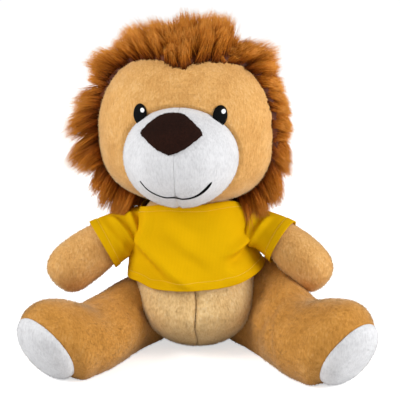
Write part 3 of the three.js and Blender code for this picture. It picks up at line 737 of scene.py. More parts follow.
def mesh_of(name: str, skin: Skin, finish: Finish) -> bpy.types.Object:
    """A skin as a smooth mesh object at the origin, in metres.

    Args:
        name: Of the piece.
        skin: Its shape, in millimetres.
        finish: What it is made of.

    Returns:
        The object.
    """
    mesh = bpy.data.meshes.new(name)
    quads, tris = skin.quads, skin.tris
    corners = np.concatenate([quads.ravel(), tris.ravel()]).astype(np.int32)
    starts = np.concatenate([np.arange(len(quads)) * 4, 4 * len(quads) + np.arange(len(tris)) * 3])
    mesh.vertices.add(len(skin.points))
    mesh.vertices.foreach_set("co", (skin.points * MM).astype(np.float32).ravel())
    mesh.loops.add(len(corners))
    mesh.loops.foreach_set("vertex_index", corners)
    mesh.polygons.add(len(starts))
    mesh.polygons.foreach_set("loop_start", starts.astype(np.int32))
    mesh.polygons.foreach_set("use_smooth", np.ones(len(starts), bool))
    if skin.uv is not None:
        flat = np.vstack([skin.uv.reshape(-1, 2), np.zeros((len(tris) * 3, 2))])
        mesh.uv_layers.new(name="UVMap").data.foreach_set("uv", flat.astype(np.float32).ravel())
    for key, value in skin.values.items():
        mesh.attributes.new(key, "FLOAT", "POINT").data.foreach_set("value", value.astype(np.float32))
    mesh.update(calc_edges=True)
    if skin.normals is not None:
        mesh.normals_split_custom_set_from_vertices(skin.normals.astype(np.float32))
    mesh.materials.append(finish_of(finish))
    piece = bpy.data.objects.new(name, mesh)
    bpy.context.scene.collection.objects.link(piece)
    log.info("%s: %d points, %d faces", name, len(skin.points), len(starts))
    return piece


# The lion's parts


@dataclass
class Torso:
    """The pear-shaped body: two belly panels and a back panel round its filling."""

    half_width: float = 48
    half_depth: float = 46
    height: float = 130
    lean: float = 5
    seat_setback: float = 8
    seat_rise: float = 40
    chest_depth: float = 0.84
    belly_forward: float = 11
    belly_height: float = 30
    belly_spread: float = 20
    left_hip: float = 3.4
    hip_height: float = 34
    hip_spread: float = 22
    side_seam: float = 6
    wall: float = 2.4
    nap: tuple = (1.2, 1.7, 0.36)
    nap_ends: tuple = (64, 70)

    def __post_init__(self) -> None:
        """Samples the profile once: [radius share, height share] from the seat to the top."""
        shares = [(0, 0), (0.32, 0), (0.6, 0.045), (0.84, 0.15), (0.97, 0.29), (1, 0.45), (0.98, 0.6),
                  (0.9, 0.76), (0.77, 0.88), (0.56, 0.955), (0.3, 0.992), (0, 1)]
        self.profile = spline(shares, 600)

    def surface(self, turn: Array, rise: Array, ease_mm: Array | float = 0.0) -> Array:
        """Points of the pear.

        A point at height h and angle a lies at r(h) (half_width cos a, half_depth d(h) sin a), where d
        falls from 1 to chest_depth with height, shifted sideways by the lean and back by the seat. The
        belly then swells forwards by a bell of its height.

        Args:
            turn: The angle about the upright axis, 0 towards the lion's left.
            rise: The share of the way along the profile, 0 at the seat.
            ease_mm: How much larger the form is all round.

        Returns:
            The points.
        """
        at = rise * (len(self.profile) - 1)
        radius = np.interp(at, np.arange(len(self.profile)), self.profile[:, 0])
        share = np.clip(np.interp(at, np.arange(len(self.profile)), self.profile[:, 1]), 0, 1)
        z = share * self.height
        half = self.half_width + ease_mm + self.hip(z) * (np.cos(turn) > 0)
        x = radius * half * np.cos(turn) - self.lean * share
        y = radius * (self.half_depth + ease_mm) * np.sin(turn) * (1 + (self.chest_depth - 1) * share)
        y = y - self.swell(y, z) + self.seat_setback * np.maximum(0, 1 - z / self.seat_rise)
        return points_of(x, y, np.maximum(0, z + ease_mm * share**2))

    def hip(self, z: Array) -> Array:
        """How much wider the body is on its left at a height: a bell about the hip's own height."""
        return self.left_hip * np.exp(-(((z - self.hip_height) / self.hip_spread) ** 2))

    def swell(self, y: Array, z: Array) -> Array:
        """How far the belly swells forwards: a bell round its own height, full in front."""
        bell = np.exp(-(((z - self.belly_height) / self.belly_spread) ** 2))
        return self.belly_forward * bell * ease(-y / self.half_depth, 0, 0.6)

    def rise_at(self, z: Array, ease_mm: float = 0.0) -> Array:
        """The share of the way along the profile at a height."""
        share = self.profile[:, 1] + ease_mm * self.profile[:, 1] ** 2 / self.height
        return np.interp(z / self.height, share[50:], np.linspace(0, 1, len(share))[50:])

    def outside(self, points: Array, ease_mm: float) -> Array:
        """The points, with those inside the pear moved level out to a surface larger than it.

        Args:
            points: Places in the frame.
            ease_mm: How much larger than the pear the surface is.

        Returns:
            The points.
        """
        z = np.clip(points[..., 2], 1, self.height - 2)
        share = z / self.height
        radius = np.interp(share, self.profile[50:, 1], self.profile[50:, 0])
        back = self.seat_setback * np.maximum(0, 1 - z / self.seat_rise)
        x, y = points[..., 0] + self.lean * share, points[..., 1] - back
        depth = (self.half_depth * radius + ease_mm) * (1 + (self.chest_depth - 1) * share)
        depth = depth + np.where(y < 0, self.swell(-depth * ease(-y, 0, 8), z), 0)
        half = (self.half_width + self.hip(z) * (x > 0)) * radius + ease_mm
        ratio = np.hypot(x / half, y / depth)
        scale = np.where(ratio < 1, 1 / np.maximum(ratio, 0.05), 1)
        return np.stack([x * scale - self.lean * share, y * scale + back, points[..., 2]], -1)

    def panel(self, low: float, high: float, columns: int) -> Array:
        """A panel's outer points between two angles, its edges curled in where it is sewn.

        Args:
            low: The angle of its first edge.
            high: The angle of its last edge.
            columns: Across it.

        Returns:
            The grid of points.
        """
        rise = np.linspace(0.012, 0.985, 120)[:, None]
        turn = np.linspace(low, high, columns)[None, :]
        wander = 0.018 * np.sin(34 * rise) * ease(rise, 0.1, 0.3)
        turn = turn + wander * np.exp(-(((turn - 0.75 * TURN) / 0.3) ** 2))
        grid = self.surface(turn, rise)
        beside = np.minimum(turn - turn[:, :1], turn[:, -1:] - turn) * self.half_width
        curl = 2.2 * (1 - ease(beside, 0, 3.0))
        inwards = self.surface(turn, rise, -1.0) - grid
        grid = grid + inwards * (curl + 0.5 * ripple(grid, 26, 3))[..., None]
        return np.maximum(grid, [-np.inf, -np.inf, 0])

    def build(self) -> None:
        """Makes the three panels, with their pile where the shirt leaves them bare."""
        side = np.arcsin(self.side_seam / self.half_depth)
        gap = 0.25 / self.half_width
        front = 0.75 * TURN
        for name, low, high, finish, seed in (
            ("belly_panel_right", np.pi - side + gap, front - gap, Finish.BELLY, 11),
            ("belly_panel_left", front + gap, TURN + side - gap, Finish.BELLY, 12),
            ("back_panel", side + gap, np.pi - side - gap, Finish.LIMB, 13),
        ):
            skin = slab(self.panel(low, high, 90), self.wall).toned()
            skin.uv = None
            bare = 1 - ease(skin.points[:, 2], *self.nap_ends)
            outer = np.zeros(len(skin.points))
            outer[: 120 * 90] = 1
            flow = np.broadcast_to([0.0, -0.1, -0.7], skin.points.shape)
            furred = skin.joined(pile(skin, *self.nap, flow, seed, keep=bare * outer))
            piece = mesh_of(name + "_plush", furred, finish)
            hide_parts(name, *(["torso_filling"] if name == "back_panel" else []))
            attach(piece, "torso")


@dataclass
class Head:
    """The stuffed head with its muzzle, nose, mouth and eyes, built about its middle and looking along -Y."""

    centre: tuple = (-7.5, 2.0, 184.0)
    turn: float = np.radians(-6)
    half: tuple = (70.0, 60.0, 62.0)
    jowl: float = 0.69
    muzzle_half: tuple = (43.6, 45.0, 39.0)
    muzzle_at: tuple = (0.0, -47.0, -17.3)
    nose_size: tuple = (45.0, 34.0)
    nose_rise: float = 9.3
    nose_shift: float = 3.6
    nose_pitch: float = np.radians(24)
    eye_size: tuple = (10.6, 15.2)
    eye_spacing: float = 60.0
    eye_rise: float = 15.2
    mouth_width: float = 53.0
    mouth_drop: float = 12.2
    mouth_sag: float = 11.5
    face_nap: tuple = (1.3, 1.4, 0.34)
    muzzle_nap: tuple = (0.7, 0.9, 0.35)
    nose_nap: tuple = (1.6, 0.7, 0.3)

    def placed(self, points: Array) -> Array:
        """Points about the head's middle, turned with the head and put in the frame."""
        c, s = np.cos(self.turn), np.sin(self.turn)
        return points @ np.array([[c, s, 0], [-s, c, 0], [0, 0, 1]]) + self.centre

    def ball(self, turn: Array, tilt: Array, ease_mm: float = 0.0) -> Array:
        """Points of the stuffed ball: a sphere with its lower half filled out to jowls, scaled.

        Below the middle a unit point (x, y, z) with level radius r goes to (x r^(j-1), y r^(j-1), -|z|^j).

        Args:
            turn: The angle about the upright axis.
            tilt: The angle down from the crown.
            ease_mm: How much larger the ball is all round.

        Returns:
            The points.
        """
        x, y, z = np.broadcast_arrays(np.sin(tilt) * np.cos(turn), np.sin(tilt) * np.sin(turn), np.cos(tilt))
        radius = np.maximum(np.hypot(x, y), 1e-6)
        wide = np.where(z < 0, radius ** (self.jowl - 1), 1)
        low = np.where(z < 0, -np.abs(z) ** self.jowl, z)
        return np.stack([x * wide, y * wide, low], -1) * (np.array(self.half) + ease_mm)

    def front(self, x: Array, z: Array, ease_mm: float = 0.0) -> Array:
        """Points of the upper front of the ball at given places: y = -half_y sqrt(1 - (x/a)^2 - (z/c)^2)."""
        a, b, c = np.array(self.half) + ease_mm
        return np.stack([x, -b * np.sqrt(np.maximum(1 - (x / a) ** 2 - (z / c) ** 2, 0)), z], -1)

    def in_muzzle(self, points: Array) -> Array:
        """How far out a point is from the muzzle's middle, 1 on its surface."""
        return np.linalg.norm((points - self.muzzle_at) / self.muzzle_half, axis=-1)

    def on_muzzle(self, x: Array, z: Array, pitch: float, middle: tuple, ease_mm: Array) -> Array:
        """Points where lines that run forwards at a pitch leave the muzzle's egg.

        A line starts at (x, z) on a plane through the egg's middle row and runs along (0, -cos, sin) of
        the pitch. The further root of |(start + s way - middle) / half| = 1 is taken, then the point is
        moved out along the egg's normal.

        Args:
            x: Across the plane.
            z: Up the plane.
            pitch: How far the lines look up.
            middle: The plane's own middle across and up, from the egg's middle.
            ease_mm: How far outside the egg the points lie.

        Returns:
            The points, about the head's middle.
        """
        half = np.array(self.muzzle_half)
        way = np.array([0, -np.cos(pitch), np.sin(pitch)])
        rise = np.array([0, np.sin(pitch), np.cos(pitch)])
        start = points_of(x + middle[0], 0 * x, 0 * x + middle[1])
        start = start + z[..., None] * rise
        a = ((way / half) ** 2).sum()
        b = 2 * (start * way / half**2).sum(-1)
        c = ((start / half) ** 2).sum(-1) - 1
        s = (-b + np.sqrt(np.maximum(b * b - 4 * a * c, 0))) / (2 * a)
        hit = start + s[..., None] * way
        return hit + unit(hit / half**2) * np.asarray(ease_mm)[..., None] + self.muzzle_at

    def build_face(self) -> None:
        """Makes the face: the whole ball, drawn in at the muzzle's seam, with pile in front of the mane."""
        turn = ring_of(220)
        tilt = np.linspace(0.02, np.pi - 0.02, 130)[:, None]
        grid = self.ball(turn, tilt)
        out = unit(grid)
        seam = (1 - ease(self.in_muzzle(grid), 1.0, 1.07)) * (grid[..., 1] < 0)
        dimple = sum(np.exp(-(((grid[..., 0] - s * 30) / 8) ** 2) - (((grid[..., 2] - 14) / 10) ** 2))
                     for s in (-1, 1)) * (grid[..., 1] < 0)
        relief = 0.7 * ripple(grid, 34, 5) + 0.25 * ripple(grid, 11, 6) - 4.5 * seam - 0.9 * dimple
        grid = grid + out * relief[..., None]
        skin = skin_of(self.placed(grid), start=self.placed(self.ball(0, 0)[None])[0],
                       end=self.placed(self.ball(0, np.pi)[None])[0])
        skin.toned()
        local = (skin.points - self.centre) @ self.spin()
        keep = ease(Mane(self).seam(local) - local[:, 1], -4, 3) * (self.in_muzzle(local) > 1.045)
        radial = local * [1, 0, 1] + [0, 0, 12]
        flow = 0.75 * unit(radial) @ self.spin().T
        furred = skin.joined(pile(skin, *self.face_nap, flow, 21, keep=keep))
        piece = mesh_of("face_plush", furred, Finish.FACE)
        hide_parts("face_panel", "head_filling")
        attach(piece, "head")

    def spin(self) -> Array:
        """The matrix that turns a row of the frame back into the head's own axes."""
        c, s = np.cos(self.turn), np.sin(self.turn)
        return np.array([[c, -s, 0], [s, c, 0], [0, 0, 1]])

    def build_muzzle(self) -> None:
        """Makes the muzzle's two halves, each a closed half egg whose edge curls in at the middle seam.

        At a share v of the way to its side, a half's section is the egg's ellipse times cos v, a sine of
        v out from the seam. Before v = 0 the section shrinks by the curl, most below the nose.
        """
        half = np.array(self.muzzle_half)
        turn = ring_of(200)
        below = ease(-np.sin(turn) + 0.25 * -np.cos(turn), -0.3, 0.8)
        for side, name in ((1, "left"), (-1, "right")):
            out = np.concatenate([[-3.4, -2.2], np.linspace(-1.2, 3, 14), np.linspace(4, 90, 78)[:-1]])
            out = out[:, None]
            angle = np.radians(np.maximum(out, 0))
            inset = np.where(out < 0, out * 1.1, 0) - (0.35 + 1.25 * below) * (1 - ease(out, -1.2, 4.5))
            across = np.maximum(half[0] * np.sin(angle), 0.08)
            y, z = -np.cos(turn), np.sin(turn)
            deep, high = half[1] * np.cos(angle) + inset, half[2] * np.cos(angle) + inset
            grid = points_of(side * across, y * deep, z * high)
            grid = grid + unit(grid) * (0.35 * ripple(grid, 30, 8))[..., None]
            grid[..., 0] = side * np.maximum(side * grid[..., 0], 0.05)
            grid = self.placed(grid + self.muzzle_at)
            ends = self.placed(np.array([[side * 0.08, 0, 0], [side * half[0], 0, 0]]) + self.muzzle_at)
            skin = skin_of(grid, start=ends[0], end=ends[1]).toned(0.5)
            local = (skin.points - self.centre) @ self.spin()
            shows = (np.linalg.norm(local / self.half, axis=1) > 0.98) * (side * local[:, 0] > 0.6)
            flow = np.broadcast_to([0.0, 0.25, -0.5], skin.points.shape)
            furred = skin.joined(pile(skin, *self.muzzle_nap, flow, 31 + side, keep=shows.astype(float)))
            piece = mesh_of("muzzle_plush_" + name, furred, Finish.WHITE)
            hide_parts("muzzle_panel_" + name)
            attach(piece, "head")

    def build_nose(self) -> None:
        """Makes the nose: a rounded rhombus, domed 2.4 mm over the muzzle and tucked under at its rim."""
        shares = [(0, -1), (-0.44, -0.72), (-0.84, -0.22), (-1, 0.12), (-0.64, 0.66), (-0.3, 0.94), (0.06, 1),
                  (0.36, 0.92), (0.7, 0.53), (1, 0.08), (0.9, -0.2), (0.46, -0.74), (0, -1)]
        outline = spline(shares, 145)[:-1]
        around = np.arange(144) * TURN / 144
        wobble = 1 + 0.008 * np.sin(around * 31) + 0.006 * np.sin(around * 17)
        outline = outline * wobble[:, None] * np.array(self.nose_size) / 2
        share = np.array([0.9, 0.97, 1.0, 1.0, 0.985, 0.95, 0.9, 0.82, 0.7, 0.55, 0.4, 0.25, 0.1])[:, None]
        lift = np.array([-1.2, -1.0, -0.2, 0.7, 1.4, 1.9, 2.15, 2.3, 2.4, 2.4, 2.4, 2.4, 2.4])[:, None]
        lift = np.broadcast_to(lift, (13, 144))
        middle = (-self.nose_shift, self.nose_rise)
        grid = self.on_muzzle(share * outline[:, 0], share * outline[:, 1], self.nose_pitch, middle, lift)
        caps = self.on_muzzle(np.zeros(2), np.zeros(2), self.nose_pitch, middle, np.array([-1.2, 2.4]))
        grid = grid + unit(grid - self.muzzle_at) * (0.12 * ripple(grid, 7, 4))[..., None]
        skin = skin_of(self.placed(grid), start=self.placed(caps)[0], end=self.placed(caps)[1])
        skin.toned()
        flow = np.broadcast_to([0.0, 0.2, -0.5], skin.points.shape)
        furred = skin.joined(pile(skin, *self.nose_nap, flow, 41, stand=0.7))
        piece = mesh_of("nose_velboa", furred, Finish.NOSE)
        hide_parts("nose_patch")
        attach(piece, "head")

    def build_mouth(self) -> None:
        """Makes the mouth: a satin-stitched cord along a sagging curve, thickest near its left end."""
        path = spline([(-1, 0), (-0.8, -0.52), (-0.55, -0.84), (-0.3, -1.0), (-0.06, -0.97), (0.04, -0.99),
                       (0.2, -1.08), (0.42, -1.02), (0.64, -0.8), (0.84, -0.42), (1, 0.04)], 120)
        x = path[:, 0] * self.mouth_width / 2
        z = path[:, 1] * self.mouth_sag
        along = np.gradient(np.stack([x, z], -1), axis=0)
        across = np.stack([-along[:, 1], along[:, 0]], -1) / np.linalg.norm(along, axis=1, keepdims=True)
        thread = [0.9, 1.0, 1.1, 1.5, 2.3, 2.1, 0.8]
        wide = np.interp(path[:, 0], [-1, -0.7, 0.1, 0.5, 0.8, 0.93, 1], thread) / 2
        turn = ring_of(10)
        side = wide[:, None] * np.cos(turn)
        lift = 0.15 + 0.55 * np.minimum(wide[:, None] * 1.3, 0.9) * np.sin(turn)
        grid = self.on_muzzle(x[:, None] + side * across[:, :1], z[:, None] + side * across[:, 1:], 0.0,
                              (0.0, -self.mouth_drop), lift)
        ends = self.placed(grid[[0, -1]].mean(1))
        cord = skin_of(self.placed(grid), start=ends[0], end=ends[1])
        piece = mesh_of("mouth_satin_stitch", cord, Finish.BLACK)
        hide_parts("mouth_stitching")
        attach(piece, "head")

    def dome(self, x: float, z: float, size: tuple, lift: float, base: float, steps: int) -> Skin:
        """A low oval dome of satin stitch on the ball's front.

        Args:
            x: Of its middle.
            z: Of its middle.
            size: Its width and height.
            lift: Of its crown above its rim.
            base: Of its rim above the ball.
            steps: Round the rim.

        Returns:
            The closed dome, in the frame.
        """
        turn = ring_of(steps)
        bend = np.linspace(0, np.pi / 2, 14)
        share = np.concatenate([[0.9, 1.0], np.cos(bend)[1:-1]])[:, None]
        rise = np.concatenate([[base - 0.6, base - 0.3], base + lift * np.sin(bend)[1:-1]])
        flat = self.front(x + share * np.cos(turn) * size[0] / 2, z + share * np.sin(turn) * size[1] / 2)
        grid = flat + unit(flat / np.array(self.half) ** 2) * rise[:, None, None]
        middle = self.front(np.array([x, x]), np.array([z, z]))
        caps = middle + unit(middle / np.array(self.half) ** 2) * np.array([[base - 0.6], [base + lift]])
        return skin_of(self.placed(grid), start=self.placed(caps)[0], end=self.placed(caps)[1])

    def build_eyes(self) -> None:
        """Makes each eye as a black satin-stitched oval with a small white one on it."""
        for side, name in ((1, "left"), (-1, "right")):
            x = side * self.eye_spacing / 2
            eye = mesh_of("eye_satin_stitch_" + name,
                          self.dome(x, self.eye_rise, self.eye_size, 0.9, 0.5, 64), Finish.BLACK)
            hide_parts("eye_" + name)
            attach(eye, "head")
            glint = mesh_of("eye_glint_stitch_" + name,
                            self.dome(x + 2.1, self.eye_rise + 2.9, (3.2, 3.4), 0.45, 1.2, 24), Finish.GLINT)
            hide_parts("eye_glint_" + name)
            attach(glint, "head")

    def build(self) -> None:
        """Makes every piece of the head but its mane."""
        self.build_face()
        self.build_muzzle()
        self.build_nose()
        self.build_mouth()
        self.build_eyes()


@dataclass
class Mane:
    """The long pile round the face and over the back of the head."""

    head: Head
    hair: float = 27.0
    locks_count: int = 2400
    tufts: int = 230
    gather: float = 0.48
    strands: int = 25
    strand_width: float = 0.55
    back_share: float = 1.15
    lies_back: tuple = (25, 80)
    back_panels_from: float = 42
    neck_half: float = 22
    nape: float = -47
    under_cheeks: float = -58

    def seam(self, local: Array) -> Array:
        """The depth y at which the mane starts, from the hairline's table by the angle round the face."""
        angle = np.degrees(np.arctan2(local[..., 2], local[..., 0]))
        return np.interp(angle % 360, HAIRLINE[:, 0], HAIRLINE[:, 1], period=360)

    def build_backing(self) -> None:
        """Makes the fur's backing: the ball, 2.5 mm larger behind the seam, under the face in front."""
        turn = ring_of(150)
        tilt = np.linspace(0.03, np.pi - 0.03, 90)[:, None]
        behind = ease(self.head.ball(turn, tilt)[..., 1] - self.seam(self.head.ball(turn, tilt)), 0, 5)
        grid = self.head.ball(turn, tilt, -3.0)
        grid = grid + unit(grid) * (6.0 * behind)[..., None]
        poles = self.head.placed(np.array([self.head.ball(0, 0, 2.5), self.head.ball(0, np.pi, -3.0)]))
        skin = skin_of(self.head.placed(grid), start=poles[0], end=poles[1])
        # Tone 0 and a low shade give the backing the hair's darkest root colour: painted shade seen between
        # the locks.
        skin.toned(0.0, 0.3)
        piece = mesh_of("mane_backing", skin, Finish.MANE)
        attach(piece, "head")

    def build(self) -> None:
        """Makes the mane's backing and its locks.

        A lock's root is a random place on the ball behind the seam. It starts along the ball's normal,
        swept away from the face, turned by a table of angles round the face and lowered by its weight,
        and its length follows a second table, so that the tufts and the notch lie where the photograph
        has them.
        """
        self.build_backing()
        head = self.head
        rng = np.random.default_rng(77)
        count = 9 * self.locks_count
        turn = rng.uniform(0, TURN, count)
        tilt = np.arccos(rng.uniform(-0.9, 1, count))
        root = head.ball(turn, tilt, 1.0)
        weight = rng.random(count)
        behind = root[:, 1] - self.seam(root)
        near = 0.5 + 0.5 * np.exp(-np.maximum(behind, 0) / 26)
        low = np.where(np.abs(root[:, 0]) > self.neck_half, self.under_cheeks, self.nape)
        good = (behind > 1.0) & (root[:, 2] > low) & (weight < near)
        root = root[good][: self.locks_count]
        behind = behind[good][: self.locks_count]
        normal = unit(root / np.array(head.half) ** 2)
        round_face = np.degrees(np.arctan2(root[:, 2], root[:, 0])) % 360
        sweep, reach, tilt = (np.interp(round_face, MANE_FLOW[:, 0], MANE_FLOW[:, k]) for k in (1, 2, 3))
        turned = np.radians(round_face + sweep + 9 * ripple(root, 15, 78) + rng.normal(0, 5, len(root)))
        outward = np.stack([np.cos(turned), 0 * turned, np.sin(turned)], -1)
        backward = ease(behind, *self.lies_back)[:, None]
        way = unit((0.72 + 0.4 * backward) * normal + (0.95 - 0.6 * backward) * outward
                   - (1 - backward) * tilt[:, None] * [0, 1, 0] + 0.2 * backward * [0, 0, -1]
                   + 0.14 * ripple(root, 12, 79)[:, None] * [0, 1, 0] + 0.08 * rng.normal(size=root.shape))
        flank = 1 - np.abs(normal[:, 2:])
        droop = np.array([0, 0.05, -0.2]) * (0.35 + flank) + 0.04 * rng.normal(size=root.shape)
        droop -= 0.45 * (ease(tilt, 0.6, 2) * (1 - ease(behind, 10, 30)))[:, None] * [0, 0, 1]
        length = self.hair * (reach + (self.back_share - reach) * backward[:, 0])
        length = length * rng.uniform(0.9, 1.1, len(root))
        length *= 1 + 0.12 * ripple(root, 13, 80)
        length *= 0.68 + 0.32 * ease(behind, 0, 9)
        spread = 0.9 + 2.0 * ease(behind, 1, 14)
        nearest = np.argmin(((root[:, None] - root[None, : self.tufts]) ** 2).sum(-1), axis=1)
        gather = (self.gather * (1 - 0.7 * ease(behind, 12, 40)))[:, None]
        reached = (1 - gather) * (root + length[:, None] * way)
        reached += gather * (root[nearest] + length[:, None] * way[nearest]) - root
        length, way = np.linalg.norm(reached, axis=1), unit(reached)
        tint = rng.random(self.tufts)[nearest]
        placed, normals, ways = head.placed(root), normal @ head.spin().T, way @ head.spin().T
        sector = np.floor((round_face - 30) % 360 / 60).astype(int)
        sector[behind > self.back_panels_from] += 6
        for k, name in enumerate(("crown", "brow_right", "cheek_right", "throat", "cheek_left", "brow_left")):
            for part, label in ((k, ""), (k + 6, "_back")):
                of = sector == part
                if of.sum() < 4:
                    continue
                skin = locks(placed[of], normals[of], ways[of], length[of], droop[of], self.strands,
                             spread[of], self.strand_width, 100 + part, tint[of])
                piece = mesh_of(f"mane_locks_{name}{label}", skin, Finish.MANE)
                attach(piece, "head")
                if part == 0:
                    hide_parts("mane_band", "mane_back_left", "mane_back_right")


@dataclass
class Arm:
    """A stuffed arm that hangs from the shoulder."""

    side: int
    length: float = 87
    half_width: float = 19
    half_height: float = 21
    nap: tuple = (1.3, 1.5, 0.34)
    under: float = -2.2
    nap_starts: tuple = (24, 30)
    shoulder: tuple = (38, 2, 98)
    blend_from: float = 3
    blend_to: float = 30

    def __post_init__(self) -> None:
        """Works out the shoulder and the arm's own axes."""
        self.name = "left" if self.side > 0 else "right"
        if self.side > 0:
            self.length, self.half_height = 85, 19.4
        droop, forward = np.radians((6.0, 24) if self.side > 0 else (15, 14))
        self.sag, self.tuck = (33.0, 0.34) if self.side > 0 else (22.0, 0.1)
        torso = Torso()
        out, back, up = self.shoulder
        self.pivot = np.array([self.side * out - torso.lean * up / torso.height, back, up])
        self.bearing = np.array([self.side * np.cos(droop) * np.cos(forward),
                                 -np.cos(droop) * np.sin(forward), -np.sin(droop)])
        self.across = unit(np.cross([0, 0, 1], self.bearing))
        self.above = np.cross(self.bearing, self.across)
        self.profile = spline([(0, -0.2), (0.6, -0.16), (0.74, 0.06), (0.9, 0.34), (1, 0.64), (0.95, 0.84),
                               (0.62, 0.96), (0, 1)], 400)

    def hung(self, local: Array) -> Array:
        """Points of a straight arm bent to its sag: at a share s of its length the line drops by sag s^2.

        Args:
            local: Across the arm, up from it and along it.

        Returns:
            The points in the frame.
        """
        share = np.maximum(0, local[..., 2] / self.length)
        steep = self.sag / self.length
        slope = np.arctan(2 * steep * share)
        rise = local[..., 1]
        above = rise * np.cos(slope) - self.sag * share**2
        along = local[..., 2] + rise * np.sin(slope) - 2 / 3 * self.length * steep**2 * share**3
        return (self.pivot + local[..., :1] * self.across + above[..., None] * self.above
                + along[..., None] * self.bearing)

    def surface(self, turn: Array, share: Array, ease_mm: Array | float = 0.0) -> Array:
        """Points of the straight arm: an ellipse round its axis times the profile's radius.

        Args:
            turn: The angle round the arm.
            share: Of the way along its profile.
            ease_mm: How much larger the arm is all round.

        Returns:
            The points, across the arm, up from it and along it.
        """
        at = np.arange(len(self.profile)) / (len(self.profile) - 1)
        radius = np.interp(share, at, self.profile[:, 0])
        along = np.interp(share, at, self.profile[:, 1]) * (self.length + ease_mm)
        drawn = 1 - self.tuck * (1 - ease(along, 20, 60)) * (np.sin(turn) < 0)
        aside = radius * (self.half_width + ease_mm) * np.cos(turn)
        rise = radius * (self.half_height + ease_mm) * np.sin(turn) * drawn
        return points_of(aside, rise, along)

    def build(self) -> None:
        """Makes the arm's cover, its root tucked under the torso's cover, with pile beyond the sleeve."""
        turn = ring_of(110)
        share = np.linspace(0.03, 0.985, 110)[:, None]
        grid = self.hung(self.surface(turn, share))
        axis = self.hung(self.surface(0, share) * [0, 0, 1])
        grid = grid + unit(grid - axis) * (0.5 * ripple(grid, 24, 50 + self.side) - 0.9)[..., None]
        grid = Torso().outside(grid, self.under)
        caps = self.hung(np.array([[0.0, 0, self.profile[12, 1] * self.length], [0, 0, self.length]]))
        skin = skin_of(grid, start=Torso().outside(caps[:1], self.under)[0], end=caps[1])
        skin.toned()
        along = (skin.points - self.pivot) @ self.bearing
        keep = ease(along, *self.nap_starts)
        flow = np.broadcast_to(0.7 * unit(self.bearing + [0, 0, -0.6]), skin.points.shape)
        furred = skin.joined(pile(skin, *self.nap, flow, 60 + self.side, keep=keep))
        piece = mesh_of("arm_plush_" + self.name, furred, Finish.FACE)
        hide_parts("arm_cover_" + self.name, "arm_filling_" + self.name)
        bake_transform(piece)


